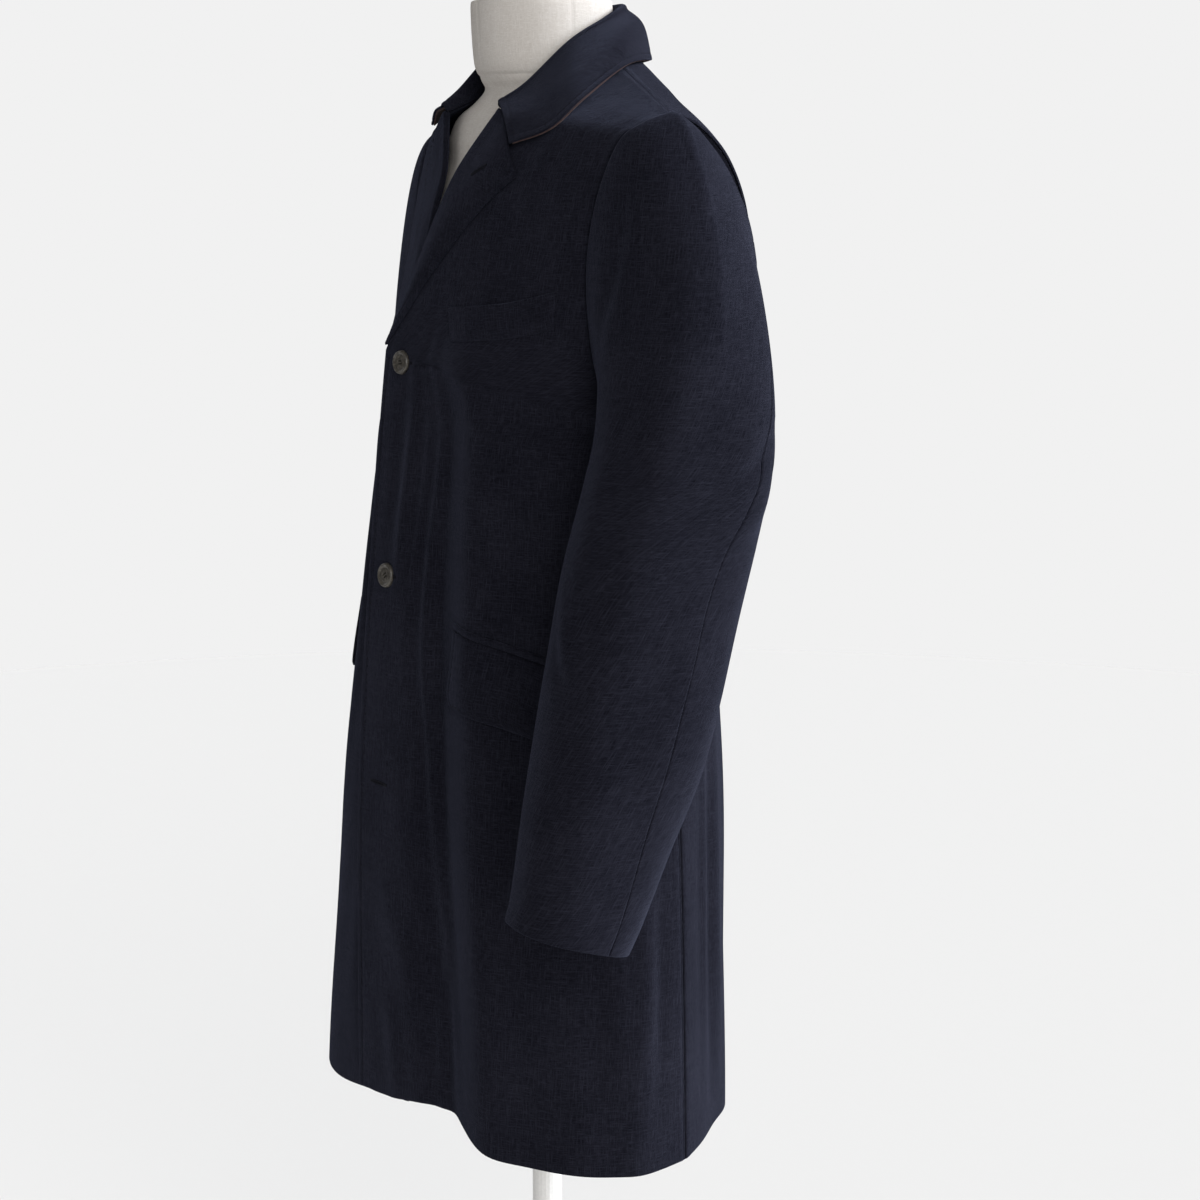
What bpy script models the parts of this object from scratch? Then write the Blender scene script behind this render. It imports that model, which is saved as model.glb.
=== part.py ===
"""A three-quarter coat with a half-belt (martingale), worn by a linen dress form on a stand.

The wearer's left is +X, the front faces -Y and +Z is up. The origin is under the middle of the
stand's base. Sizes in the tables are in millimetres. Every panel of cloth is a sheet with its own
thickness, made of rows of smooth arcs that run from the front edge, or from the centre back, to the
side seam and, above the underarm, to the armhole. The rows climb from the hem to the shoulder seam.
"""
import math
from collections import namedtuple

import bpy
import numpy as np

MM = 0.001

# ---- grading ----
# The tables below are drawn for a straight general figure. At each height the coat and the form
# are as much wider as this table says, and stand so many millimetres higher.
Grade = namedtuple("Grade", "height girth lift")
GRADES = [
    Grade(600, 1.038, -16),
    Grade(900, 1.021, 7),
    Grade(1200, 0.980, 12),
    Grade(1500, 0.965, -3),
]

# ---- cloth ----
COAT_CLOTH = 2.2            # thickness of a single coat panel
FACING_CLOTH = 1.8          # lapels, collar, flaps
TRIM_CLOTH = 1.2            # undercollar, jets, tapes
SEAM_GAP = 0.3
LAY_GAP = 0.6               # clearance of a piece that lies on a panel
LINING_GAP = 0.5           # clearance between the collar and its undercollar

# ---- the coat's rows ----
# Stations of every panel: 0 hem, 5 underarm, 6 lapel break, 11 gorge / centre back neck, 13 shoulder.
UNDERARM = 5
BREAK = 6
GORGE = 11
SHOULDER = 13
ROWS_PER_STATION = 2

Place = namedtuple("Place", "x y z")
# How a row leaves its first point and reaches its last one: the heading in degrees (0 runs to the
# wearer's left, 90 runs to the back) and the length of the pull along it.
Arc = namedtuple("Arc", "leave leave_pull reach reach_pull")

SIDE_SEAM = [
    Place(204, 24, 613),
    Place(203, 23, 720),
    Place(200, 22, 840),
    Place(195, 20, 960),
    Place(188, 19, 1070),
    Place(190, 22, 1165),
]
FRONT_ARMHOLE = [
    Place(190, 22, 1165),
    Place(189, -15, 1178),
    Place(184, -36, 1208),
    Place(178, -43, 1250),
    Place(175, -44, 1303),
    Place(180, -38, 1354),
    Place(190, -25, 1397),
    Place(197, -8, 1412),
    Place(201, 16, 1421),
]
BACK_ARMHOLE = [
    Place(190, 22, 1165),
    Place(189, 58, 1180),
    Place(186, 82, 1212),
    Place(183, 95, 1255),
    Place(182, 99, 1303),
    Place(184, 93, 1348),
    Place(189, 73, 1386),
    Place(196, 44, 1411),
    Place(201, 16, 1421),
]
LEFT_EDGE = [
    Place(-26, -160, 622),
    Place(-26, -159.5, 720),
    Place(-26, -158, 840),
    Place(-26, -153, 960),
    Place(-26, -146, 1070),
    Place(-26, -138, 1170),
    Place(-25, -133, 1226),
]
# The right front lies under the left one. These are places on the wearer's right, with x mirrored.
RIGHT_EDGE = [
    Place(-26, -137, 622),
    Place(-26, -136, 720),
    Place(-26, -134, 840),
    Place(-26, -131, 960),
    Place(-26, -125, 1070),
    Place(-26, -117, 1170),
    Place(-25, -113, 1226),
]
LEFT_ROLL_LINE = [
    Place(-25, -133, 1226),
    Place(-9, -127, 1255),
    Place(10, -119, 1292),
    Place(28, -106, 1340),
    Place(40, -91, 1379),
    Place(57, -63, 1426),
]
RIGHT_ROLL_LINE = [
    Place(-25, -113, 1226),
    Place(-9, -112, 1255),
    Place(10, -104, 1292),
    Place(30, -86, 1340),
    Place(42, -71, 1379),
    Place(57, -63, 1426),
]
FRONT_NECK = [
    Place(57, -63, 1426),
    Place(74, -22, 1442),
    Place(76, 32, 1467),
]
LEFT_ARC = [
    Arc(14, 120, 112, 140),
    Arc(14, 115, 110, 130),
    Arc(14, 108, 107, 120),
    Arc(14, 100, 103, 108),
    Arc(14, 103, 98, 103),
    Arc(13, 115, 92, 107),
    Arc(12, 88, 85, 76),
    Arc(12, 80, 73, 60),
    Arc(14, 70, 58, 52),
    Arc(17, 60, 42, 46),
    Arc(19, 55, 32, 45),
    Arc(18, 50, 22, 45),
    Arc(12, 45, 10, 45),
    Arc(-7.5, 42, -7.5, 42),
]
RIGHT_ARC = [
    Arc(-26, 138, 112, 130),
    Arc(-24, 130, 110, 125),
    Arc(-22, 122, 107, 115),
    Arc(-20, 112, 103, 105),
    Arc(-17, 108, 98, 103),
    Arc(-11, 112, 92, 106),
    Arc(-7, 88, 85, 76),
    Arc(0, 78, 73, 60),
    Arc(8, 62, 58, 52),
    Arc(12, 52, 42, 46),
    Arc(13, 48, 32, 45),
    Arc(12, 45, 22, 45),
    Arc(8, 45, 10, 45),
    Arc(-7.5, 42, -7.5, 42),
]
CENTRE_BACK = [
    Place(0, 148, 630),
    Place(0, 142, 720),
    Place(0, 134, 840),
    Place(0, 129, 960),
    Place(0, 121, 1070),
    Place(0, 125, 1165),
    Place(0, 128, 1212),
    Place(0, 128, 1265),
    Place(0, 124, 1320),
    Place(0, 116, 1375),
    Place(0, 100, 1425),
    Place(0, 79, 1468),
]
BACK_NECK_SIDE = Place(76, 32, 1467)
BACK_ARC = [
    Arc(0, 60, -62, 62),
    Arc(0, 70, -65, 62),
    Arc(0, 80, -70, 62),
    Arc(0, 85, -76, 62),
    Arc(0, 90, -82, 62),
    Arc(0, 95, -88, 66),
    Arc(0, 93, -78, 58),
    Arc(0, 88, -60, 48),
    Arc(0, 80, -42, 42),
    Arc(0, 70, -27, 40),
    Arc(0, 65, -16, 40),
    Arc(0, 60, -13, 45),
    Arc(-6, 50, -10, 45),
    Arc(-7.5, 42, -7.5, 42),
]

# ---- the largest folds of the fronts and backs ----
# A fold runs from a low to a high station; across is the place between the row's two ends (0..1).
Fold = namedtuple("Fold", "low low_across high high_across width height")
LEFT_FOLDS = [
    Fold(-0.5, 0.475, 8.0, 0.36, 0.070, 9),
    Fold(-0.5, 0.305, 6.5, 0.27, 0.065, -11),
    Fold(-0.5, 0.86, 3.5, 0.90, 0.050, 3),
]
RIGHT_FOLDS = [
    Fold(-0.5, 0.34, 4.5, 0.30, 0.110, 10),
    Fold(-0.5, 0.58, 6.0, 0.52, 0.070, -5),
]
# The hem is drawn up a little where the deepest fold lies.
LEFT_HEM_RISE, RIGHT_HEM_RISE = 13, -9
HEM_RISE_ACROSS, HEM_RISE_WIDTH, HEM_RISE_ROWS = 0.27, 0.14, 1.6
BACK_FOLDS = [
    Fold(-0.5, 0.62, 4.0, 0.66, 0.080, 5),
    Fold(-0.5, 0.30, 3.5, 0.34, 0.080, 4),
]

# ---- sleeves ----
# Sections of a sleeve below the cap: middle, half widths front to back and side to side, lean.
Section = namedtuple("Section", "x y z half_deep half_wide lean")
LEFT_SLEEVE = [
    Section(249, -6, 1142, 67, 50, 4),
    Section(259, -33, 1069, 66, 49, 12),
    Section(265, -51, 1005, 64, 47, 15),
    Section(268, -66, 954, 61, 45, 17),
    Section(270, -86, 899, 53, 42, 17),
    Section(271, -102, 849, 46, 39, 17),
    Section(271, -110, 827, 43, 37, 17),
]
# The right sleeve hangs further back, with x mirrored.
RIGHT_SLEEVE = [
    Section(247, 26, 1142, 64, 48, 1),
    Section(255, 20, 1069, 63, 48, 4),
    Section(258, 14, 1005, 61, 46, 6),
    Section(260, 8, 954, 57, 44, 7),
    Section(260, 1, 899, 52, 42, 8),
    Section(260, -6, 849, 46, 39, 8),
    Section(260, -9, 827, 43, 37, 8),
]
CAP_ROWS = 5
SLEEVE_SQUARE = 2.5
FRONT_SEAM = 5.5            # where the two sleeve pieces meet, counted round the armhole
ELBOW_SEAM = [12.4, 14.9, 15.35, 15.4, 15.2, 15.15]
ROUND = 16                  # count round the armhole: 0 shoulder, 4 front, 8 underarm, 12 back
SLEEVE_CLEAR = 2.4          # the sleeves start this far outside the armhole's edge

# ---- action pleats at the back of the armholes ----
PLEAT_LOW, PLEAT_HIGH = 6.5, 12.75      # stations between which the back's edge is a free fold
PLEAT_OPEN = 0.042          # how far the fold stands back from the armhole, as a share of the row
PLEAT_DEPTH = 0.16          # how far the underlay reaches under the back
PLEAT_END = 0.955           # where the underlay ends, just under the fold
PLEAT_TUCK = 11.0
PLEAT_SUNK, PLEAT_COUNTS = 12.0, 4.0     # how deep the sleeve's head lies in the open fold

# ---- lapels ----
# The outer edge at evenly spaced places from the break to the tip, as x and z on the front.
LapelEdge = namedtuple("LapelEdge", "x z")
LAPEL = [
    LapelEdge(-21, 1230),
    LapelEdge(5, 1256),
    LapelEdge(31, 1287),
    LapelEdge(57, 1319),
    LapelEdge(83, 1350),
    LapelEdge(105, 1371),
]
LAPEL_START = 6.3
LAPEL_ROLL = 3.5            # how high the lapel swells between its roll line and its edge

# ---- collar ----
# From the centre back (first row) over the shoulder (third) to the gorge (last): top of the fold, the
# swell of the fall and its outer edge.
CollarRow = namedtuple("CollarRow", "fold_x fold_y fold_z swell_x swell_y swell_z edge_x edge_y edge_z")
COLLAR = [
    CollarRow(0, 66, 1513, 0, 82, 1497, 0, 91, 1468),
    CollarRow(40, 56, 1511, 49, 68, 1496, 54, 73, 1468),
    CollarRow(67, 26, 1499, 89, 27, 1484, 107, 25, 1461),
    CollarRow(73, -8, 1480, 102, -16, 1455, 128, -23, 1433),
    CollarRow(67, -44, 1446, 98, -48, 1427, 124, -50, 1409),
    CollarRow(59, -65, 1431, 79, -69, 1417, 94, -71, 1397),
]
RIGHT_COLLAR_DRAWN = (0, 6, 9)  # how far its right front corner is drawn in, a count
COLLAR_LIFT = 1.0           # room under the collar for its undercollar
FOLD_RADIUS = [4.0, 4.0, 4.0, 4.0, 4.0, 2.5]
COLLAR_SHOULDER = 2         # collar count at the shoulder seam; 0 is the centre back
COLLAR_SPAN = 5             # collar count at the gorge

# ---- what lies on the fronts and the back ----
# Corners of a piece on the front, as x and z: upper and lower, at the front and at the side.
Patch = namedtuple("Patch", "front_top front_low side_top side_low")
CHEST_WELT = Patch((58, 1265), (66, 1238), (158, 1282), (160, 1252))
FLAP = Patch((82, 1012), (74, 955), (183, 986), (184, 931))
RIGHT_FLAP = Patch((79, 1012.5), (74, 955), (183, 986), (184, 931))
JET = Patch((82, 1018), (82, 1013), (183, 992), (183, 987))
BELT_LOW, BELT_HIGH = 3.80, 4.20        # stations of the half-belt's lower and upper edges
BELT_END = 0.56             # place of its ends across each back
BUTTON_RADIUS = 10
BUTTON_HEIGHT = 3.2
BUTTONS = [1217, 1044]      # heights of the two fastened buttons
THIRD_BUTTON = 876
BELT_BUTTON_X = 92
TAPE_LOW, TAPE_HIGH = 6.4, 10.9
TAPE_INSIDE, TAPE_OUTSIDE = 0.045, -0.028

# ---- dress form ----
FormRing = namedtuple("FormRing", "z half_wide front back middle")
FORM = [
    FormRing(772, 128, 96, 96, 0),
    FormRing(790, 150, 108, 106, 0),
    FormRing(850, 160, 112, 112, 2),
    FormRing(930, 158, 108, 110, 4),
    FormRing(1010, 134, 92, 92, 6),
    FormRing(1060, 124, 88, 82, 8),
    FormRing(1120, 132, 96, 84, 10),
    FormRing(1190, 150, 108, 90, 12),
    FormRing(1250, 158, 104, 88, 14),
    FormRing(1310, 160, 96, 82, 16),
    FormRing(1350, 162, 91, 74, 18),
    FormRing(1380, 160, 82, 66, 20),
    FormRing(1403, 154, 80, 58, 21),
    FormRing(1421.6, 142, 75, 50, 22),
    FormRing(1433.6, 108, 66, 42, 21),
    FormRing(1444.5, 74, 58, 43, 16),
    FormRing(1453, 61, 56, 50, 8),
    FormRing(1468, 59, 57, 56, 2),
    FormRing(1512, 58, 58, 58, 0),
    FormRing(1516, 55, 55, 55, 0),
]
OVAL_SQUARE = 2.2
POLE_RADIUS = 13
STAND_GAP = 0.3
BASE_PROFILE = [(166, 0), (170, 3), (170, 9), (166, 12), (60, 16), (26, 26), (20, 40), (20, 64)]


# ---------------------------------------------------------------- general curves and sheets
def spline(rows, at, rests=()):
    """Read a table as one smooth curve; `at` counts its rows from 0.

    The curve slows to a stop at the rows in `rests`, so that a corner there leaves no crease.
    """
    table = np.array(rows, float)
    at = np.asarray(at, float)
    slope = np.gradient(table, axis=0)
    slope[list(rests)] = 0
    low = np.clip(np.floor(at).astype(int), 0, len(table) - 2)
    t = (at - low)[..., None]
    start, end = table[low], table[low + 1]
    leave, reach = slope[low], slope[low + 1]
    return ((2 * t**3 - 3 * t**2 + 1) * start + (t**3 - 2 * t**2 + t) * leave
            + (3 * t**2 - 2 * t**3) * end + (t**3 - t**2) * reach)


def joined(lower, upper, corner, at):
    """One line made of two tables that meet with a corner at station `corner`."""
    at = np.asarray(at, float)
    return np.where((at <= corner)[..., None], spline(lower, at, [-1]),
                    spline(upper, at - corner, [0]))


def arc(start, end, shape, across):
    """The point `across` (0..1) on the arc from start to end; shape columns are those of Arc."""
    leave, leave_pull, reach, reach_pull = np.moveaxis(shape, -1, 0)
    leave, reach = np.radians(leave), np.radians(reach)
    first, second = start.copy(), end.copy()
    first[..., 0] += leave_pull * np.cos(leave)
    first[..., 1] += leave_pull * np.sin(leave)
    second[..., 0] -= reach_pull * np.cos(reach)
    second[..., 1] -= reach_pull * np.sin(reach)
    climb = (end[..., 2] - start[..., 2]) / 3
    first[..., 2] += climb
    second[..., 2] -= climb
    t = across[..., None]
    return (1 - t)**3 * start + 3 * (1 - t)**2 * t * first + 3 * (1 - t) * t**2 * second + t**3 * end


class Sheet:
    """A surface of cloth given by a rule point(across, station), with its outer side known."""

    STEP = 0.004

    def __init__(self, point, outward):
        self.point = point
        self.outward = outward

    def normal(self, across, station):
        step = self.STEP
        along = self.point(across + step, station) - self.point(across - step, station)
        up = self.point(across, station + step) - self.point(across, station - step)
        normal = np.cross(along, up) * self.outward
        return normal / np.linalg.norm(normal, axis=-1, keepdims=True)

    def above(self, across, station, height):
        """The point a height out of the sheet."""
        lift = np.asarray(height, float)[..., None]
        return self.point(across, station) + self.normal(across, station) * lift

    def find(self, first, second, axes, guess):
        """The (across, station) where two of the coordinates have the given values."""
        across, station = guess
        step = self.STEP
        for _ in range(40):
            here = self.point(np.array(across), np.array(station))[list(axes)]
            d_across = self.point(np.array(across + step), np.array(station))[list(axes)] - here
            d_station = self.point(np.array(across), np.array(station + step))[list(axes)] - here
            slopes = np.array([d_across, d_station]).T / step
            move = np.linalg.solve(slopes, np.array([first, second]) - here)
            across += float(np.clip(move[0], -0.1, 0.1))
            station += float(np.clip(move[1], -1, 1))
            if np.abs(move).max() < 1e-7:
                break
        return across, station


def mirrored(sheet):
    """The same sheet on the wearer's right side."""
    flip = np.array([-1, 1, 1])
    return Sheet(lambda across, station: sheet.point(across, station) * flip, -sheet.outward)


# ---------------------------------------------------------------- the coat's surfaces
def side_line(armhole, station):
    return joined(SIDE_SEAM, armhole, UNDERARM, station)


def front_line(edge, roll_line, station):
    """Front edge, then the lapel's roll line, then the neck seam."""
    station = np.asarray(station, float)
    roll = spline(roll_line, station - BREAK, [0, -1])
    lower = np.where((station <= BREAK)[..., None], spline(edge, station, [-1]), roll)
    return np.where((station <= GORGE)[..., None], lower, spline(FRONT_NECK, station - GORGE, [0]))


def back_line(station):
    """Centre back seam, then the back neck as a quarter of an ellipse."""
    station = np.asarray(station, float)
    share = np.maximum(station - GORGE, 0) / (SHOULDER - GORGE)
    turn = share**2 * (2 - share) * math.pi / 2
    start = np.array(CENTRE_BACK[-1], float)
    end = np.array(BACK_NECK_SIDE, float)
    curve = np.stack([end[0] * np.sin(turn), end[1] + (start[1] - end[1]) * np.cos(turn),
                      start[2] + (end[2] - start[2]) * (1 - np.cos(turn))], -1)
    return np.where((station <= GORGE)[..., None], spline(CENTRE_BACK, station, [-1]), curve)


def fold_height(folds, across, station):
    """How far the folds push the cloth out of its plain surface."""
    height = np.zeros(np.broadcast(across, station).shape)
    for fold in folds:
        run = np.clip((station - fold.low) / (fold.high - fold.low), 0, 1)
        middle = fold.low_across + (fold.high_across - fold.low_across) * run
        fade = np.cos(run * math.pi / 2)
        height = height + fold.height * fade * np.exp(-((across - middle) / fold.width)**2)
    return height


def folded(plain, folds):
    """The sheet with its folds pushed out along its normal."""
    return Sheet(lambda across, station: plain.above(across, station,
                                                     fold_height(folds, across, station)),
                 plain.outward)


def make_front(edge, roll_line, arcs, folds, hem_rise):
    def point(across, station):
        across, station = np.broadcast_arrays(np.asarray(across, float), np.asarray(station, float))
        place = arc(front_line(edge, roll_line, station), side_line(FRONT_ARMHOLE, station),
                    spline(arcs, station), across)
        fade = np.clip(1 - station / HEM_RISE_ROWS, 0, 1)**2
        bump = np.exp(-((across - HEM_RISE_ACROSS) / HEM_RISE_WIDTH)**2)
        place[..., 2] += hem_rise * fade * bump
        return place
    return folded(Sheet(point, 1), folds)


def make_back(folds):
    def point(across, station):
        across, station = np.broadcast_arrays(np.asarray(across, float), np.asarray(station, float))
        return arc(back_line(station), side_line(BACK_ARMHOLE, station),
                   spline(BACK_ARC, station), across)
    return folded(Sheet(point, -1), folds)


def armhole(count):
    """Point of the armhole's edge: count 0 at the shoulder, 4 front, 8 underarm, 12 back."""
    count = np.mod(np.asarray(count, float), ROUND)
    down = spline(FRONT_ARMHOLE, SHOULDER - UNDERARM - count, [0])
    up = spline(BACK_ARMHOLE, count - ROUND / 2, [0])
    return np.where((count <= ROUND / 2)[..., None], down, up)


def oval(turn, square):
    """Cosine and sine of an angle, pushed out to an oval with squarer shoulders."""
    wide, deep = np.cos(turn), np.sin(turn)
    reach = (np.abs(wide)**square + np.abs(deep)**square)**(-1 / square)
    return wide * reach, deep * reach


def sleeve_section(table, count, level):
    """Point of the sleeve below its cap; level counts the table's rows."""
    row = spline(table, level)
    wide, deep = oval(np.asarray(count, float) / ROUND * 2 * math.pi, SLEEVE_SQUARE)
    wide, deep = wide * row[..., 4], deep * row[..., 3]
    lean = np.radians(row[..., 5])
    return np.stack([row[..., 0] + wide, row[..., 1] - deep * np.cos(lean),
                     row[..., 2] + deep * np.sin(lean)], -1)


def make_sleeve_sheet(table):
    """A sleeve: level 0 at the armhole, 1 under the cap, then the rows of its table."""
    def point(count, level):
        count, level = np.broadcast_arrays(np.asarray(count, float), np.asarray(level, float))
        start = armhole(count)
        end = sleeve_section(table, count, np.zeros(count.shape))
        turn = count / ROUND * 2 * math.pi
        high = (1 + np.cos(turn)) / 2
        back = np.maximum(-np.sin(turn), 0)
        leave = np.stack([75 + 95 * high - 50 * back, -26 + 20 * np.sin(turn),
                          -165 + 150 * high - 30 * back], -1)
        behind = np.clip((ROUND - np.mod(count, ROUND)) / PLEAT_COUNTS, 0, 1)
        sunk = PLEAT_SUNK * np.sin(behind * math.pi)
        start = (start + np.array([SLEEVE_CLEAR, 0, 0])
                 - sunk[..., None] * np.array([0.80, 0.10, 0.55]))
        reach = (sleeve_section(table, count, np.full(count.shape, 0.2)) - end) / 0.2
        reach *= np.linalg.norm(end - start, axis=-1, keepdims=True) / 85
        t = np.clip(level, 0, 1)[..., None]
        cap = ((2 * t**3 - 3 * t**2 + 1) * start + (t**3 - 2 * t**2 + t) * leave
               + (3 * t**2 - 2 * t**3) * end + (t**3 - t**2) * reach)
        below = sleeve_section(table, count, np.maximum(level - 1, 0))
        return np.where((level <= 1)[..., None], cap, below)
    return Sheet(point, -1)


FRONT_LEFT = make_front(LEFT_EDGE, LEFT_ROLL_LINE, LEFT_ARC, LEFT_FOLDS, LEFT_HEM_RISE)
FRONT_RIGHT = mirrored(make_front(RIGHT_EDGE, RIGHT_ROLL_LINE, RIGHT_ARC, RIGHT_FOLDS,
                                  RIGHT_HEM_RISE))
BACK_LEFT = make_back(BACK_FOLDS)
BACK_RIGHT = mirrored(BACK_LEFT)
SLEEVE_LEFT = make_sleeve_sheet(LEFT_SLEEVE)
SLEEVE_RIGHT = mirrored(make_sleeve_sheet(RIGHT_SLEEVE))


# ---------------------------------------------------------------- solids
def material(name, colour, roughness, metallic=0.0):
    made = bpy.data.materials.new(name)
    made.use_nodes = True
    shader = made.node_tree.nodes["Principled BSDF"]
    shader.inputs["Base Color"].default_value = (*colour, 1)
    shader.inputs["Roughness"].default_value = roughness
    shader.inputs["Metallic"].default_value = metallic
    return made


def graded(points):
    """Points of the tables' figure in millimetres, brought to the real one."""
    at = (points[..., 2] - GRADES[0].height) / (GRADES[1].height - GRADES[0].height)
    grade = spline(GRADES, np.clip(at, 0, len(GRADES) - 1))
    return np.stack([points[..., 0] * grade[..., 1], points[..., 1] * grade[..., 1],
                     points[..., 2] + grade[..., 2]], -1)


def add_object(name, points, faces, finish, grade=True):
    """One named object from points in millimetres; faces are turned to point out."""
    points = np.asarray(points, float)
    points = (graded(points) if grade else points) * MM
    volume = 0.0
    for face in faces:
        for corner in range(1, len(face) - 1):
            a, b, c = points[face[0]], points[face[corner]], points[face[corner + 1]]
            volume += np.dot(a, np.cross(b, c))
    if volume < 0:
        faces = [face[::-1] for face in faces]
    mesh = bpy.data.meshes.new(name)
    mesh.from_pydata([tuple(p) for p in points], [], [tuple(face) for face in faces])
    mesh.materials.append(finish)
    mesh.shade_smooth()
    mesh.set_sharp_from_angle(angle=math.radians(40))
    thing = bpy.data.objects.new(name, mesh)
    bpy.context.scene.collection.objects.link(thing)
    return thing


def grid_faces(rows, columns, offset=0):
    """Triangles of a grid, each cell cut from its first to its opposite corner."""
    faces = []
    for i in range(rows - 1):
        for j in range(columns - 1):
            a = offset + i * columns + j
            faces.append([a, a + 1, a + columns + 1])
            faces.append([a, a + columns + 1, a + columns])
    return faces


def shell(name, outer, inner, finish):
    """A wall of cloth between two grids of points."""
    rows, columns = outer.shape[:2]
    count = rows * columns
    faces = grid_faces(rows, columns)
    faces += [face[::-1] for face in grid_faces(rows, columns, count)]
    rim = [j for j in range(columns)]
    rim += [i * columns + columns - 1 for i in range(1, rows)]
    rim += [(rows - 1) * columns + j for j in range(columns - 2, -1, -1)]
    rim += [i * columns for i in range(rows - 2, 0, -1)]
    for a, b in zip(rim, rim[1:] + rim[:1]):
        faces.append([a, a + count, b + count, b])
    points = np.concatenate([outer.reshape(-1, 3), inner.reshape(-1, 3)])
    return add_object(name, points, faces, finish)


def trimmed(grid, sides, by=SEAM_GAP / 2):
    """Draw the named sides of a grid back along the cloth by half a seam gap."""
    grid = grid.copy()
    inside = {"low": (0, 1), "high": (-1, -2)}
    for side in sides:
        axis, end = side.split("_")
        border, inner = inside[end]
        lines = grid if axis == "row" else grid.swapaxes(0, 1)
        away = lines[inner] - lines[border]
        lines[border] += away / np.linalg.norm(away, axis=-1, keepdims=True) * by
    return grid


def mesh_of(across, station):
    return np.meshgrid(across, station)


def pleat_edge(station):
    """Where the back ends at the armhole: drawn back between the pleat's two ends."""
    run = np.clip((station - PLEAT_LOW) / (PLEAT_HIGH - PLEAT_LOW), 0, 1)
    return 1 - PLEAT_OPEN * np.sin(run * math.pi)**0.5


class Panel:
    """The flat triangles of a panel's outer face; what lies on the panel is made from them."""

    def __init__(self, sheet, columns):
        self.sheet = sheet
        self.columns = columns
        self.is_back = sheet in (BACK_LEFT, BACK_RIGHT)
        station = np.linspace(0, SHOULDER, SHOULDER * ROWS_PER_STATION + 1)
        across, self.station = mesh_of(np.linspace(0, 1, columns + 1), station)
        self.across = across * self.edge(self.station)
        self.outer = sheet.point(self.across, self.station)

    def edge(self, station):
        return pleat_edge(station) if self.is_back else np.ones(np.shape(station))

    def point(self, across, station):
        """A place on the triangles: each cell is cut from its first to its opposite corner."""
        column = across / self.edge(station) * self.columns
        row = station * ROWS_PER_STATION
        j = np.clip(np.floor(column).astype(int), 0, self.columns - 1)
        i = np.clip(np.floor(row).astype(int), 0, len(self.outer) - 2)
        u, v = (column - j)[..., None], (row - i)[..., None]
        first, beside = self.outer[i, j], self.outer[i, j + 1]
        above, opposite = self.outer[i + 1, j], self.outer[i + 1, j + 1]
        return np.where(u >= v, first + u * (beside - first) + v * (opposite - beside),
                        first + v * (above - first) + u * (opposite - above))

    def above(self, across, station, height):
        lift = np.asarray(height, float)[..., None]
        return self.point(across, station) + self.sheet.normal(across, station) * lift

    def lines(self, low, high, margin=0.004):
        """The panel's own column lines between two places across it."""
        every = np.arange(1, self.columns) / self.columns
        return every[(every > low + margin) & (every < high - margin)]


def panel_solid(name, panel, finish, partner=None):
    """A front or back panel, whose seam ends share their direction with the partner's."""
    sheet, across, station = panel.sheet, panel.across, panel.station
    outer = panel.outer
    normal = sheet.normal(across, station)
    if partner:
        seam = ((across == 1) & (station <= UNDERARM)) | (station == SHOULDER)
        both = normal[seam] + partner.normal(across[seam], station[seam])
        normal[seam] = both / np.linalg.norm(both, axis=-1, keepdims=True)
    if panel.is_back:
        centre = normal[:, 0]
        on_seam = station[:, 0] <= GORGE
        centre[on_seam, 0] = 0
        centre /= np.linalg.norm(centre, axis=-1, keepdims=True)
    sides = ["row_high", "column_high"]
    if panel.is_back:
        sides.append("column_low")
    outer = trimmed(outer, sides)
    return shell(name, outer, outer - normal * COAT_CLOTH, finish)


def laid_solid(name, sheet, across, station, height, thickness, finish):
    """A piece that lies on a sheet: grids of places on it, with the height of its outer face."""
    outer = sheet.above(across, station, height)
    inner = sheet.above(across, station, height - thickness)
    return shell(name, outer, inner, finish)


def corner_grid(panel, patch, rows):
    """Grids of places on a front between four corners given as x and z (x as on the left)."""
    side = -1 if panel.sheet is FRONT_RIGHT else 1
    ends = [panel.sheet.find(side * x, z, (0, 2), (0.5, 4.0)) for x, z in patch]
    front_top, front_low, side_top, side_low = [np.array(end) for end in ends]
    lines = panel.lines(max(front_top[0], front_low[0]), min(side_top[0], side_low[0]))
    places = []
    for v in np.linspace(0, 1, rows + 1):
        front = front_low + (front_top - front_low) * v
        end = side_low + (side_top - side_low) * v
        across = np.concatenate([[front[0]], lines, [end[0]]])
        share = (across - front[0]) / (end[0] - front[0])
        places.append(np.stack([across, front[1] + (end[1] - front[1]) * share], -1))
    places = np.array(places)
    return places[..., 0], places[..., 1]


def pleat_tuck(across):
    """How much deeper the underlay lies past the back's fold, down to the sunk sleeve head."""
    return PLEAT_TUCK * np.clip((across - PLEAT_END) / (1 - PLEAT_END), 0, 1)


def pleat_solid(name, sheet, finish):
    """The underlay that shows between the back's fold and the sleeve."""
    station = np.linspace(PLEAT_LOW, PLEAT_HIGH, 12)
    across, station = mesh_of([1 - PLEAT_DEPTH, 1 - PLEAT_DEPTH / 2, PLEAT_END, 1], station)
    height = -COAT_CLOTH - 2 * LAY_GAP - pleat_tuck(across)
    laid_solid(name, sheet, across, station, height, TRIM_CLOTH, finish)


def lapel_places(sheet, part, along):
    """Places on the front under the lapel; part 0 is the roll line, 1 the edge."""
    side = -1 if sheet is FRONT_RIGHT else 1
    edge = [sheet.find(side * row.x, row.z, (0, 2), (0.3, 8.0)) for row in LAPEL]
    row = spline(edge, along * (len(LAPEL) - 1))
    start = LAPEL_START + (GORGE - LAPEL_START) * along
    return row[..., 0] * part, start + (row[..., 1] - start) * part


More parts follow.
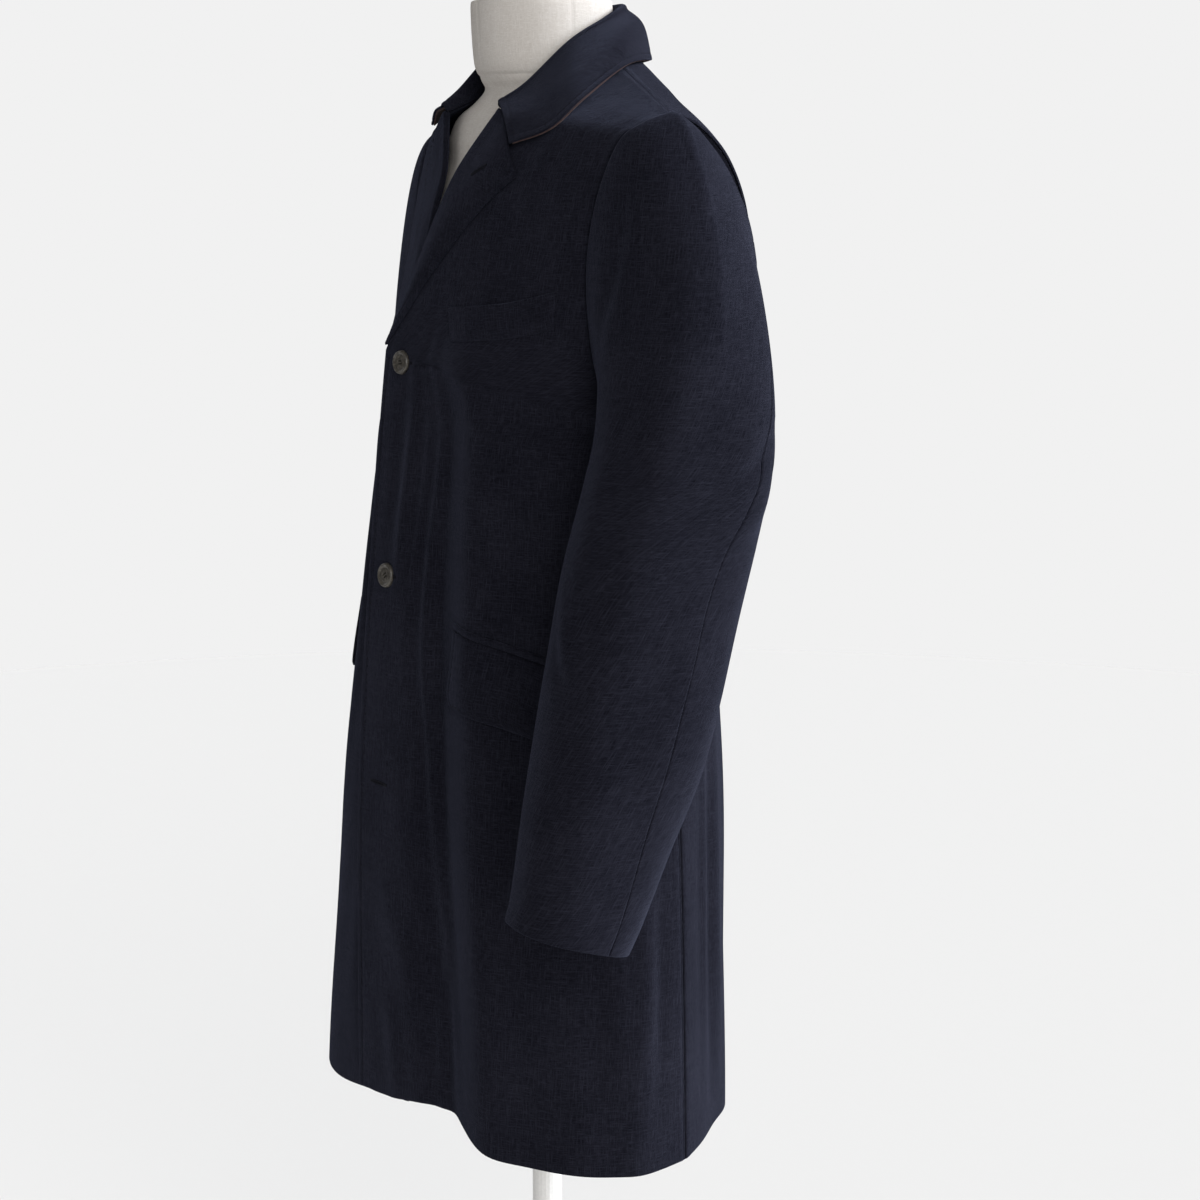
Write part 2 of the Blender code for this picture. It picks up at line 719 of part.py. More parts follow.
def lapel_height(part, along):
    swell = np.sin(np.clip(part, 0, 1) * math.pi) * LAPEL_ROLL * np.clip(along * 3, 0, 1)
    return FACING_CLOTH + LAY_GAP + 0.2 + swell + 0.8 * part


def lapel_solid(name, panel, finish):
    part, along = mesh_of(np.linspace(0, 1, 5), np.linspace(0, 1, 11))
    across, station = lapel_places(panel.sheet, part, along)
    laid_solid(name, panel, across, station, lapel_height(part, along), FACING_CLOTH, finish)


def neck_seam(count):
    """Point of the neck seam, by the collar's count."""
    count = np.asarray(count, float)
    back = back_line(GORGE + np.clip(np.abs(count), 0, COLLAR_SHOULDER))
    past = np.clip(np.abs(count) - COLLAR_SHOULDER, 0, None) / (COLLAR_SPAN - COLLAR_SHOULDER)
    front = spline(FRONT_NECK, 2 - 2 * past, [0])
    place = np.where((np.abs(count) <= COLLAR_SHOULDER)[..., None], back, front)
    return place * np.stack([np.sign(count) + (count == 0), np.ones(count.shape),
                             np.ones(count.shape)], -1)


def collar_point(over, count):
    """Point of the collar's face: over 0 at the neck seam, 3 on the fold, 6 at the outer edge."""
    over, count = np.broadcast_arrays(np.asarray(over, float), np.asarray(count, float))
    side = np.stack([np.sign(count) + (count == 0), np.ones(count.shape), np.ones(count.shape)], -1)
    row = spline(COLLAR, np.abs(count))
    drawn = np.clip(-count - 3, 0, None)[..., None] * np.array(RIGHT_COLLAR_DRAWN)
    fold, swell = row[..., 0:3] * side, row[..., 3:6] * side + drawn / 2
    edge = row[..., 6:9] * side + drawn
    radius = spline([[r] for r in FOLD_RADIUS], np.abs(count))
    seam = neck_seam(count) + np.array([0, 0, 1.2])
    away = edge - seam
    away[..., 2] = 0
    away /= np.linalg.norm(away, axis=-1, keepdims=True)
    down = np.array([0, 0, 1.0]) * radius
    before = fold - away * radius - down
    after = fold + away * radius - down
    middle = (seam + before) / 2
    rows = np.stack([seam, middle, before, fold, after, swell, edge])
    slope = np.gradient(rows, axis=0)
    low = np.clip(np.floor(over).astype(int), 0, len(rows) - 2)
    t = (over - low)[..., None]
    def pick(table, index):
        return np.take_along_axis(table, index[None, ..., None], 0)[0]
    return ((2 * t**3 - 3 * t**2 + 1) * pick(rows, low) + (t**3 - 2 * t**2 + t) * pick(slope, low)
            + (3 * t**2 - 2 * t**3) * pick(rows, low + 1) + (t**3 - t**2) * pick(slope, low + 1))


def make_collar(cloth, undercloth):
    over, count = mesh_of(np.arange(7.0), np.linspace(-COLLAR_SPAN, COLLAR_SPAN, 21))
    height = np.full(over.shape, FACING_CLOTH + COLLAR_LIFT)
    laid_solid("collar", COLLAR_FACE, over, count, height, FACING_CLOTH, cloth)
    counts = count[:, 0].copy()
    counts[0] += 0.06
    counts[-1] -= 0.06
    over, count = mesh_of([4.1, 5, 5.97], counts)
    height = np.full(over.shape, COLLAR_LIFT - LINING_GAP)
    laid_solid("undercollar", COLLAR_FACE, over, count, height, TRIM_CLOTH, undercloth)


def make_pockets(left, right, cloth):
    across, station = corner_grid(left, CHEST_WELT, 2)
    height = np.full(across.shape, FACING_CLOTH + LAY_GAP)
    laid_solid("chest_welt", left, across, station, height, FACING_CLOTH, cloth)
    for side, panel, flap in (("left", left, FLAP), ("right", right, RIGHT_FLAP)):
        across, station = corner_grid(panel, flap, 3)
        height = np.full(across.shape, FACING_CLOTH + LAY_GAP)
        laid_solid(f"flap_{side}", panel, across, station, height, FACING_CLOTH, cloth)
        across, station = corner_grid(panel, JET, 1)
        height = np.full(across.shape, TRIM_CLOTH + LAY_GAP)
        laid_solid(f"jet_{side}", panel, across, station, height, TRIM_CLOTH, cloth)


def make_belt(left, right, cloth):
    """The half-belt across both backs, made from their points."""
    lines = np.concatenate([left.lines(0, BELT_END), [BELT_END]])
    part, up = mesh_of(np.concatenate([-lines[::-1], [0], lines]), np.linspace(0, 1, 4))
    station = BELT_LOW + (BELT_HIGH - BELT_LOW) * up
    faces = []
    for height in (COAT_CLOTH + LAY_GAP, LAY_GAP):
        lift = np.full(part.shape, height)
        on_left = left.above(np.abs(part), station, lift)
        on_right = right.above(np.abs(part), station, lift)
        faces.append(np.where((part > 0)[..., None], on_left, on_right))
    return shell("martingale", faces[0], faces[1], cloth)


def button_solid(name, sheet, place, base, finish):
    """A turned button whose underside is a height above the place on the sheet."""
    across, station = np.array(place[0]), np.array(place[1])
    centre = sheet.above(across, station, np.array(base))
    normal = sheet.normal(across, station)
    side = np.cross(normal, [0, 0, 1.0])
    side /= np.linalg.norm(side)
    up = np.cross(side, normal)
    profile = [(0.6, 0), (0.94, 0.2), (1.0, 0.55), (0.92, 0.95), (0.78, 1.0), (0.68, 0.8)]
    angle = np.linspace(0, 2 * math.pi, 20, endpoint=False)[:, None]
    rings = [centre + normal * h * BUTTON_HEIGHT
             + (side * np.cos(angle) + up * np.sin(angle)) * r * BUTTON_RADIUS for r, h in profile]
    return tube(name, np.array(rings), finish)


def make_buttons(horn):
    for number, height in enumerate(BUTTONS, 1):
        place = FRONT_LEFT.find(0, height, (0, 2), (0.15, 5.0))
        button_solid(f"button_{number}", FRONT_LEFT, place, 2 * SEAM_GAP, horn)
    place = FRONT_RIGHT.find(0, THIRD_BUTTON, (0, 2), (0.15, 2.5))
    button_solid("button_3", FRONT_RIGHT, place, SEAM_GAP, horn)
    for number, sheet in enumerate((BACK_LEFT, BACK_RIGHT), 1):
        side = 1 if sheet is BACK_LEFT else -1
        middle = (BELT_LOW + BELT_HIGH) / 2
        across = sheet.find(side * BELT_BUTTON_X, 1070, (0, 2), (0.4, 4.0))[0]
        button_solid(f"martingale_button_{number}", sheet, (across, middle),
                     COAT_CLOTH + LAY_GAP + 2 * SEAM_GAP, horn)


def make_tapes(finish):
    """Tapes inside the front edges that carry the zip of a liner."""
    for side, sheet in (("left", FRONT_LEFT), ("right", FRONT_RIGHT)):
        across, station = mesh_of(np.linspace(TAPE_OUTSIDE, TAPE_INSIDE, 3),
                                  np.linspace(TAPE_LOW, TAPE_HIGH, 11))
        height = np.full(across.shape, -COAT_CLOTH - 2 * LAY_GAP)
        laid_solid(f"zip_tape_{side}", sheet, across, station, height, TRIM_CLOTH, finish)


def sleeve_levels():
    cap = np.linspace(0, 1, CAP_ROWS + 1)**1.3
    return np.concatenate([cap, np.arange(1, len(LEFT_SLEEVE)) + 1.0])


def sleeve_solid(name, sheet, low_seam, high_seam, columns, finish):
    """One piece of a sleeve between two lengthwise seams."""
    level = sleeve_levels()
    share = level / level[-1]
    low = low_seam(share)
    high = high_seam(share)
    part = np.linspace(0, 1, columns + 1)
    count = low[:, None] + (high - low)[:, None] * part[None, :]
    levels = np.repeat(level[:, None], columns + 1, 1)
    outer = sheet.point(count, levels)
    safe = np.clip(levels, 0.01, level[-1] - 0.01)
    normal = sheet.normal(count, safe)
    outer = trimmed(outer, ["column_low", "column_high"], SEAM_GAP)
    return shell(name, outer, outer - normal * COAT_CLOTH, finish)


def elbow_seam(share):
    return spline([[row] for row in ELBOW_SEAM], share * (len(ELBOW_SEAM) - 1))[..., 0]


def make_sleeve(side, sheet, finish):
    def over(share):
        return elbow_seam(share) - ROUND
    def front(share):
        return np.full(share.shape, FRONT_SEAM)
    sleeve_solid(f"topsleeve_{side}", sheet, over, front, 15, finish)
    sleeve_solid(f"undersleeve_{side}", sheet, front, elbow_seam, 16, finish)


def form_ring(row, angle):
    """A ring of the dress form: an oval whose front and back halves differ."""
    wide, deep = oval(angle, OVAL_SQUARE)
    reach = np.where(deep < 0, row.front, row.back)
    return np.stack([row.half_wide * wide, row.middle + reach * deep,
                     np.full(angle.shape, row.z)], -1)


def turned(name, profile, segments, finish):
    """A solid turned round the Z axis from (radius, z) pairs, with a flat face at each end."""
    angle = np.linspace(0, 2 * math.pi, segments, endpoint=False)
    rings = [np.stack([r * np.cos(angle), r * np.sin(angle), np.full(segments, z)], -1)
             for r, z in profile]
    return tube(name, np.array(rings), finish, grade=False)


def tube(name, rings, finish, grade=True):
    """A closed solid through rings of points, with a flat face at each end."""
    count, segments = rings.shape[:2]
    faces = [list(range(segments))[::-1]]
    for i in range(count - 1):
        for j in range(segments):
            k = (j + 1) % segments
            faces.append([i * segments + j, i * segments + k,
                          (i + 1) * segments + k, (i + 1) * segments + j])
    faces.append([(count - 1) * segments + j for j in range(segments)])
    return add_object(name, rings.reshape(-1, 3), faces, finish, grade)


def make_form(linen, metal):
    angle = np.linspace(0, 2 * math.pi, 28, endpoint=False)
    tube("form_torso", np.array([form_ring(row, angle) for row in FORM]), linen)
    under = graded(np.array([0.0, 0.0, FORM[0].z]))[2]
    top = under - STAND_GAP
    bottom = BASE_PROFILE[-1][1] + STAND_GAP
    turned("pole", [(POLE_RADIUS, bottom), (POLE_RADIUS, top)], 24, metal)
    turned("base", BASE_PROFILE, 48, metal)


COLLAR_FACE = Sheet(collar_point, -1)


def main():
    for thing in list(bpy.data.objects):
        bpy.data.objects.remove(thing)
    cloth = material("navy_cloth", (0.010, 0.011, 0.020), 0.85)
    undercloth = material("brown_undercloth", (0.10, 0.06, 0.05), 0.9)
    tape = material("black_tape", (0.006, 0.006, 0.007), 0.7)
    horn = material("horn", (0.10, 0.09, 0.075), 0.45)
    linen = material("linen", (0.60, 0.57, 0.53), 0.9)
    metal = material("painted_stand", (0.72, 0.71, 0.69), 0.5)
    front_left, front_right = Panel(FRONT_LEFT, 12), Panel(FRONT_RIGHT, 12)
    back_left, back_right = Panel(BACK_LEFT, 8), Panel(BACK_RIGHT, 8)
    panel_solid("front_left", front_left, cloth, BACK_LEFT)
    panel_solid("front_right", front_right, cloth, BACK_RIGHT)
    panel_solid("back_left", back_left, cloth, FRONT_LEFT)
    panel_solid("back_right", back_right, cloth, FRONT_RIGHT)
    pleat_solid("pleat_left", BACK_LEFT, cloth)
    pleat_solid("pleat_right", BACK_RIGHT, cloth)
    make_sleeve("left", SLEEVE_LEFT, cloth)
    make_sleeve("right", SLEEVE_RIGHT, cloth)
    lapel_solid("lapel_left", front_left, cloth)
    lapel_solid("lapel_right", front_right, cloth)
    make_collar(cloth, undercloth)
    make_pockets(front_left, front_right, cloth)
    make_belt(back_left, back_right, cloth)
    make_buttons(horn)
    make_tapes(tape)
    make_form(linen, metal)


main()
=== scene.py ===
"""The looks of the martingale coat on its linen dress form.

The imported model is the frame. Each cloth panel is built here again from the coat's own tables as a
thin, finely divided shell with its creases, edges and stitches. The wearer's left is +X, the front
faces -Y. The tables are in millimetres and so are all sizes, up to the last step of each mesh.
"""
import math

import bpy
import numpy as np
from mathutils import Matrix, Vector


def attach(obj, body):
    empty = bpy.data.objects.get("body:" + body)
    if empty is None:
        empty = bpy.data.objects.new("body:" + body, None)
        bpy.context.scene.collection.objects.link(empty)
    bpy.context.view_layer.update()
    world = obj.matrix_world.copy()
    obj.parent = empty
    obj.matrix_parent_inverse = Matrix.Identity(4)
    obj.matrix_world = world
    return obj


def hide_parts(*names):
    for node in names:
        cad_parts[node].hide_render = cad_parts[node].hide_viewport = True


MM = 0.001

# ---- grading ----
# The tables below are drawn for a straight general figure. At each height the coat and the form
# are wider by the second number, and stand higher by the third one in millimetres.
GRADES = [
    (600, 1.038, -16), (900, 1.021, 7), (1200, 0.980, 12), (1500, 0.965, -3),
]

# ---- cloth ----
COAT_CLOTH = 2.2            # thickness of a single coat panel
FACING_CLOTH = 1.8          # collar and what the lapels stand off by
TRIM_CLOTH = 1.2            # undercollar and pleats
LAY_GAP = 0.6               # clearance of a piece that lies on a panel

# ---- the coat's rows ----
# Stations of every panel, from 0 at the hem; the gorge is also the back neck's middle.
UNDERARM, BREAK, GORGE, SHOULDER = 5, 6, 11, 13

# How a row leaves its first point and reaches its last one: the heading in degrees (0 runs to the
# wearer's left, 90 runs to the back) and the length of the pull along it. The ARC tables say it as
# (heading, pull, heading, pull) for each station, the lines as (x, y, z).
SIDE_SEAM = [
    (204, 24, 613), (203, 23, 720), (200, 22, 840), (195, 20, 960), (188, 19, 1070),
    (190, 22, 1165),
]
FRONT_ARMHOLE = [
    (190, 22, 1165), (189, -15, 1178), (184, -36, 1208), (178, -43, 1250), (175, -44, 1303),
    (180, -38, 1354), (190, -25, 1397), (197, -8, 1412), (201, 16, 1421),
]
BACK_ARMHOLE = [
    (190, 22, 1165), (189, 58, 1180), (186, 82, 1212), (183, 95, 1255), (182, 99, 1303),
    (184, 93, 1348), (189, 73, 1386), (196, 44, 1411), (201, 16, 1421),
]
LEFT_EDGE = [
    (-26, -160, 622), (-26, -159.5, 720), (-26, -158, 840), (-26, -153, 960), (-26, -146, 1070),
    (-26, -138, 1170), (-25, -133, 1226),
]
# The right front lies under the left one. These are places on the wearer's right, with x mirrored.
RIGHT_EDGE = [
    (-26, -137, 622), (-26, -136, 720), (-26, -134, 840), (-26, -131, 960), (-26, -125, 1070),
    (-26, -117, 1170), (-25, -113, 1226),
]
LEFT_ROLL_LINE = [
    (-25, -133, 1226), (-9, -127, 1255), (10, -119, 1292), (28, -106, 1340), (40, -91, 1379),
    (57, -63, 1426),
]
RIGHT_ROLL_LINE = [
    (-25, -113, 1226), (-9, -112, 1255), (10, -104, 1292), (30, -86, 1340), (42, -71, 1379),
    (57, -63, 1426),
]
FRONT_NECK = [
    (57, -63, 1426), (74, -22, 1442), (76, 32, 1467),
]
LEFT_ARC = [
    (14, 120, 112, 140), (14, 115, 110, 130), (14, 108, 107, 120), (14, 100, 103, 108),
    (14, 103, 98, 103), (13, 115, 92, 107), (12, 88, 85, 76), (12, 80, 73, 60), (14, 70, 58, 52),
    (17, 60, 42, 46), (19, 55, 32, 45), (18, 50, 22, 45), (12, 45, 10, 45), (-7.5, 42, -7.5, 42),
]
RIGHT_ARC = [
    (-26, 138, 112, 130), (-24, 130, 110, 125), (-22, 122, 107, 115), (-20, 112, 103, 105),
    (-17, 108, 98, 103), (-11, 112, 92, 106), (-7, 88, 85, 76), (0, 78, 73, 60), (8, 62, 58, 52),
    (12, 52, 42, 46), (13, 48, 32, 45), (12, 45, 22, 45), (8, 45, 10, 45), (-7.5, 42, -7.5, 42),
]
CENTRE_BACK = [
    (0, 148, 630), (0, 142, 720), (0, 134, 840), (0, 129, 960), (0, 121, 1070), (0, 125, 1165),
    (0, 128, 1212), (0, 128, 1265), (0, 124, 1320), (0, 116, 1375), (0, 100, 1425), (0, 79, 1468),
]
BACK_ARC = [
    (0, 60, -62, 62), (0, 70, -65, 62), (0, 80, -70, 62), (0, 85, -76, 62), (0, 90, -82, 62),
    (0, 95, -88, 66), (0, 93, -78, 58), (0, 88, -60, 48), (0, 80, -42, 42), (0, 70, -27, 40),
    (0, 65, -16, 40), (0, 60, -13, 45), (-6, 50, -10, 45), (-7.5, 42, -7.5, 42),
]

# ---- the largest folds of the fronts and backs ----
# Each is its low station and place across there, its high station and place across there, its
# width and its height. Places across count from 0 to 1 between the row's two ends.
LEFT_FOLDS = [
    (-0.5, 0.475, 8.0, 0.36, 0.070, 9), (-0.5, 0.305, 6.5, 0.27, 0.065, -11),
    (-0.5, 0.86, 3.5, 0.90, 0.050, 3),
]
RIGHT_FOLDS = [
    (-0.5, 0.34, 4.5, 0.30, 0.110, 10), (-0.5, 0.58, 6.0, 0.52, 0.070, -5),
]
# The hem is drawn up a little where the deepest fold lies.
LEFT_HEM_RISE, RIGHT_HEM_RISE = 13, -9
HEM_RISE_ACROSS, HEM_RISE_WIDTH, HEM_RISE_ROWS = 0.27, 0.14, 1.6
BACK_FOLDS = [
    (-0.5, 0.62, 4.0, 0.66, 0.080, 5), (-0.5, 0.30, 3.5, 0.34, 0.080, 4),
]

# ---- sleeves ----
# Sections of a sleeve below the cap: middle (x, y, z), half widths front to back and side to
# side, lean in degrees.
LEFT_SLEEVE = [
    (249, -6, 1142, 67, 50, 4), (259, -33, 1069, 66, 49, 12), (265, -51, 1005, 64, 47, 15),
    (268, -66, 954, 61, 45, 17), (270, -86, 899, 53, 42, 17), (271, -102, 849, 46, 39, 17),
    (271, -110, 827, 43, 37, 17),
]
# The right sleeve hangs further back, with x mirrored.
RIGHT_SLEEVE = [
    (247, 26, 1142, 64, 48, 1), (255, 20, 1069, 63, 48, 4), (258, 14, 1005, 61, 46, 6),
    (260, 8, 954, 57, 44, 7), (260, 1, 899, 52, 42, 8), (260, -6, 849, 46, 39, 8),
    (260, -9, 827, 43, 37, 8),
]
SLEEVE_SQUARE = 2.5         # 2 is an ellipse, more is squarer
# How the cloth leaves the armhole in x, y and z: first number, then how much more it is at the top,
# at the front and (only there) at the back.
CAP_LEAVE = [(75, 95, 0, -50), (-26, 0, 20, 0), (-165, 150, 0, -30)]
CAP_REACH = 85              # the cap's length for which it runs straight on into the sleeve
FRONT_SEAM = 5.5            # where the two sleeve pieces meet, counted round the armhole
ELBOW_SEAM = [12.4, 14.9, 15.35, 15.4, 15.2, 15.15]
ROUND = 16                  # count round the armhole: 0 shoulder, 4 front, 8 underarm, 12 back
SLEEVE_CLEAR = 2.4          # the sleeves start this far outside the armhole's edge

# ---- action pleats at the back of the armholes ----
PLEAT_LOW, PLEAT_HIGH = 6.5, 12.75      # stations between which the back's edge is a free fold
PLEAT_OPEN = 0.042          # how far the fold stands back from the armhole, as a share of the row
PLEAT_DEPTH = 0.16          # how far the underlay reaches under the back
PLEAT_END = 0.955           # where the underlay ends, just under the fold
PLEAT_TUCK = 11.0           # how much deeper the underlay lies at the armhole
# How deep the sleeve's head lies in the open fold, over how many counts, and which way it sinks.
PLEAT_SUNK, PLEAT_COUNTS, PLEAT_INWARD = 12.0, 4.0, (0.80, 0.10, 0.55)

# ---- lapels ----
# The outer edge at evenly spaced places from the break to the tip, as x and z on the front.
LAPEL = [
    (-21, 1230), (5, 1256), (31, 1287), (57, 1319), (83, 1350), (105, 1371),
]
LAPEL_START = 6.3
LAPEL_ROLL = 3.5            # how high the lapel swells between its roll line and its edge
LAPEL_STAND = FACING_CLOTH + LAY_GAP + 0.2      # how high it lies over the front at its roll line
LAPEL_LEAN = 0.8            # and how much higher at its edge
LAPEL_ROW = 330             # the front's width behind the lapel
# The facing behind the front and its turn round the edge: mm past the edge, mm out of the front.
LAPEL_INSIDE = [(-34, -3.1), (-22, -3.1), (-12, -3.0), (-5, -2.9), (-1.5, -2.6)]
LAPEL_TURN = [(1.3, -1.7), (1.9, -0.6), (2.0, 0.6), (1.5, 1.7), (0.4, 2.6)]

# ---- collar ----
# From the centre back (first row) over the shoulder (third) to the gorge (last): top of the
# fold, the swell of the fall and its outer edge, each as x, y, z.
COLLAR = [
    (0, 66, 1513, 0, 82, 1497, 0, 91, 1468), (40, 56, 1511, 49, 68, 1496, 54, 73, 1468),
    (67, 26, 1499, 89, 27, 1484, 107, 25, 1461), (73, -8, 1480, 102, -16, 1455, 128, -23, 1433),
    (67, -44, 1446, 98, -48, 1427, 124, -50, 1409), (59, -65, 1431, 79, -69, 1417, 94, -71, 1397),
]
RIGHT_COLLAR_DRAWN = (0, 6, 9)  # how far its right front corner is drawn in, a count
COLLAR_LIFT = 1.0           # room under the collar for its undercollar
COLLAR_RISE = 1.2           # how high over the neck seam the collar starts
FOLD_RADIUS = [4.0, 4.0, 4.0, 4.0, 4.0, 2.5]
COLLAR_SHOULDER = 2         # collar count at the shoulder seam; 0 is the centre back
COLLAR_SPAN = 5             # collar count at the gorge

# ---- what lies on the fronts and the back ----
# Corners of a piece on the front, as x and z: upper and lower, at the front and at the side.
CHEST_WELT = ((58, 1265), (66, 1238), (158, 1282), (160, 1252))
FLAP = ((82, 1012), (74, 955), (183, 986), (184, 931))
RIGHT_FLAP = ((79, 1012.5), (74, 955), (183, 986), (184, 931))
JET = ((82, 1018), (82, 1013), (183, 992), (183, 987))
BELT_LOW, BELT_HIGH = 3.80, 4.20        # stations of the half-belt's lower and upper edges
BELT_END = 0.56             # place of its ends across each back
BUTTON_RADIUS, HOLE_PLACE = 10, 0.17    # the holes' place as a share of the radius
BUTTONS = [1217, 1044]      # heights of the two fastened buttons
THIRD_BUTTON = 876
BELT_BUTTON_X = 92
TAPE_LOW = 6.4
TAPE_INSIDE, TAPE_OUTSIDE, TAPE_GAP, TOOTH_PITCH = 0.045, -0.028, 2.6, 2.1
# The left zip comes out from behind the roll line near the neck; the right one stops lower down.
ZIP_TOP = {"left": 10.95, "right": 8.6}
ZIP_PEEP, ZIP_BEYOND = (9.3, 10.1), 0.017

# ---- dress form ----
# Rings of the form: height, half width, reach to the front and to the back, middle.
FORM = [
    (772, 128, 96, 96, 0), (790, 150, 108, 106, 0), (850, 160, 112, 112, 2),
    (930, 158, 108, 110, 4), (1010, 134, 92, 92, 6), (1060, 124, 88, 82, 8),
    (1120, 132, 96, 84, 10), (1190, 150, 108, 90, 12), (1250, 158, 104, 88, 14),
    (1310, 160, 96, 82, 16), (1350, 162, 91, 74, 18), (1380, 160, 82, 66, 20),
    (1403, 154, 80, 58, 21), (1421.6, 142, 75, 50, 22), (1433.6, 108, 66, 42, 21),
    (1444.5, 74, 58, 43, 16), (1453, 61, 56, 50, 8), (1468, 59, 57, 56, 2), (1512, 58, 58, 58, 0),
    (1516, 55, 55, 55, 0),
]
OVAL_SQUARE, NECK_SEAM, FORM_RADIUS = 2.2, 1456, 110

# ---- finer creases ----
# A crease follows a path of places, each as millimetres across the panel and height; it is highest
# in the middle of its path and dies away at both ends. After the path stand its width and height.
# The cloth dips a little beside it.
LEFT_CREASES = [
    ([(92, 1262), (96, 1197), (101, 1143), (97, 1076), (96, 990), (105, 911), (115, 814),
      (126, 725), (136, 640), (140, 590)], 7.5, 2.9),
    ([(80, 1270), (84, 1197), (88, 1143), (84, 1076), (82, 990), (92, 911),
      (101, 840)], 7.5, -1.7),
    ([(55, 1225), (56, 1193), (53, 1096), (48, 1020)], 7.0, 2.6),
    ([(70, 1220), (72, 1180), (70, 1080), (66, 1000)], 6.0, -1.6),
    ([(34, 1200), (36, 1120), (30, 1050)], 8.0, -1.3),
    ([(80, 960), (88, 920), (84, 850)], 5.0, 1.8),
    ([(116, 760), (112, 700), (110, 600)], 6.0, 2.6),
    ([(30, 840), (62, 760), (92, 690)], 16.0, 1.8), ([(44, 720), (54, 660), (56, 600)], 9.0, 1.6),
    ([(148, 1190), (156, 1060), (150, 960)], 26.0, 1.3),
    ([(210, 900), (232, 780), (246, 620)], 26.0, 2.0),
    ([(290, 900), (300, 780), (306, 620)], 18.0, -2.0),
    ([(352, 850), (356, 760), (350, 640)], 9.0, 1.8),
    ([(372, 880), (374, 780), (370, 640)], 6.0, -1.4),
]
RIGHT_CREASES = [
    ([(70, 1230), (62, 1100), (66, 980)], 8.0, 2.2),
    ([(104, 1230), (100, 1080), (96, 900)], 9.0, -2.6),
    ([(124, 1200), (120, 1000), (128, 800)], 10.0, 2.8),
    ([(50, 860), (74, 760), (92, 640)], 14.0, 1.6),
    ([(230, 880), (252, 760), (262, 620)], 22.0, 2.2),
    ([(306, 860), (318, 740), (322, 620)], 16.0, -1.8),
    ([(356, 830), (352, 740), (354, 640)], 9.0, 1.5),
]
BACK_LEFT_CREASES = [
    ([(60, 1020), (52, 860), (40, 660)], 20.0, -2.2),
    ([(130, 1010), (126, 840), (118, 630)], 18.0, 2.4),
    ([(190, 960), (192, 820), (188, 620)], 8.0, 3.0),
    ([(208, 960), (210, 800), (206, 620)], 6.0, -2.2),
    ([(222, 930), (226, 800), (224, 640)], 6.0, 1.8),
    ([(176, 1156), (130, 1112), (84, 1094)], 14.0, 1.8),
    ([(150, 1052), (96, 1042), (36, 1046)], 12.0, -1.6),
    ([(186, 1330), (162, 1262), (140, 1190)], 16.0, -2.0),
    ([(120, 1400), (90, 1372), (50, 1345)], 20.0, 1.4),
]
BACK_RIGHT_CREASES = [
    ([(66, 1030), (70, 860), (60, 680)], 20.0, -2.0),
    ([(140, 990), (148, 840), (150, 650)], 20.0, 2.6),
    ([(204, 940), (208, 800), (204, 630)], 10.0, 2.4),
    ([(166, 1144), (110, 1106), (66, 1098)], 14.0, 1.6),
    ([(146, 1062), (100, 1036), (48, 1034)], 13.0, -1.6),
    ([(172, 1310), (156, 1250), (144, 1180)], 16.0, -1.8),
    ([(112, 1392), (84, 1366), (50, 1350)], 18.0, 1.2),
]
# On a sleeve the first number counts round it: 0 outside, 4 front, 8 inside, 12 back.
LEFT_SLEEVE_CREASES = [
    ([(0.6, 1405), (0.95, 1384), (1.6, 1336), (2.2, 1295), (2.6, 1232), (2.5, 1110),
      (2.4, 1050), (2.3, 960)], 17, 3.6),
    ([(0.2, 1400), (0.3, 1354), (0.35, 1309), (0.7, 1240), (0.8, 1170)], 22, -3.2),
    ([(2.1, 1380), (2.37, 1358), (2.79, 1323), (3.43, 1283), (4.17, 1250), (4.3, 1225)], 5, 3.4),
    ([(3.4, 1350), (4.0, 1310), (4.9, 1270), (5.2, 1240)], 12, -2.8),
    ([(13.6, 1190), (14.4, 1158), (15.4, 1146)], 9, 3.0),
    ([(13.2, 1142), (14.2, 1122), (15.6, 1118)], 12, -2.2),
    ([(4.6, 1060), (3.4, 1034), (2.2, 1024)], 14, -1.8),
    ([(4.4, 1030), (3.2, 1006), (2.2, 1000)], 11, 1.5),
    ([(15.9, 1120), (15.7, 1010), (15.7, 900)], 16, -1.6),
    ([(1.2, 1010), (1.3, 940), (1.2, 860)], 20, -1.2),
    ([(7.0, 1150), (8.2, 1105), (9.5, 1080)], 16, -2.4),
    ([(9.5, 1120), (8.5, 1060), (7.5, 1020)], 14, 2.0),
]
RIGHT_SLEEVE_CREASES = [
    ([(0.8, 1400), (1.5, 1330), (1.9, 1240), (1.8, 1110), (1.8, 980)], 17, 2.8),
    ([(0.1, 1395), (0.2, 1320), (0.5, 1210)], 18, -3.6),
    ([(3.0, 1360), (3.8, 1300), (4.4, 1220)], 7, 2.6),
    ([(4.0, 1350), (4.9, 1290), (5.3, 1230)], 12, -2.6),
    ([(13.4, 1170), (14.4, 1140), (15.4, 1130)], 11, 2.6),
    ([(4.6, 1060), (3.4, 1034), (2.4, 1030)], 14, -2.0),
    ([(4.8, 1020), (3.6, 996), (2.8, 992)], 12, 1.6),
    ([(7.2, 1140), (8.3, 1100), (9.4, 1075)], 16, -2.4),
    ([(9.3, 1110), (8.4, 1050), (7.4, 1010)], 14, 2.0),
]
# The cloth is never quite flat: long shallow waves as (mm per radian across, up, height, start).
WAVES = [(31, 83, 0.35, 0.4), (-19, 47, 0.22, 1.9), (11, 29, 0.12, 4.0), (47, -38, 0.30, 2.6)]

CREASE_STEPS = 25
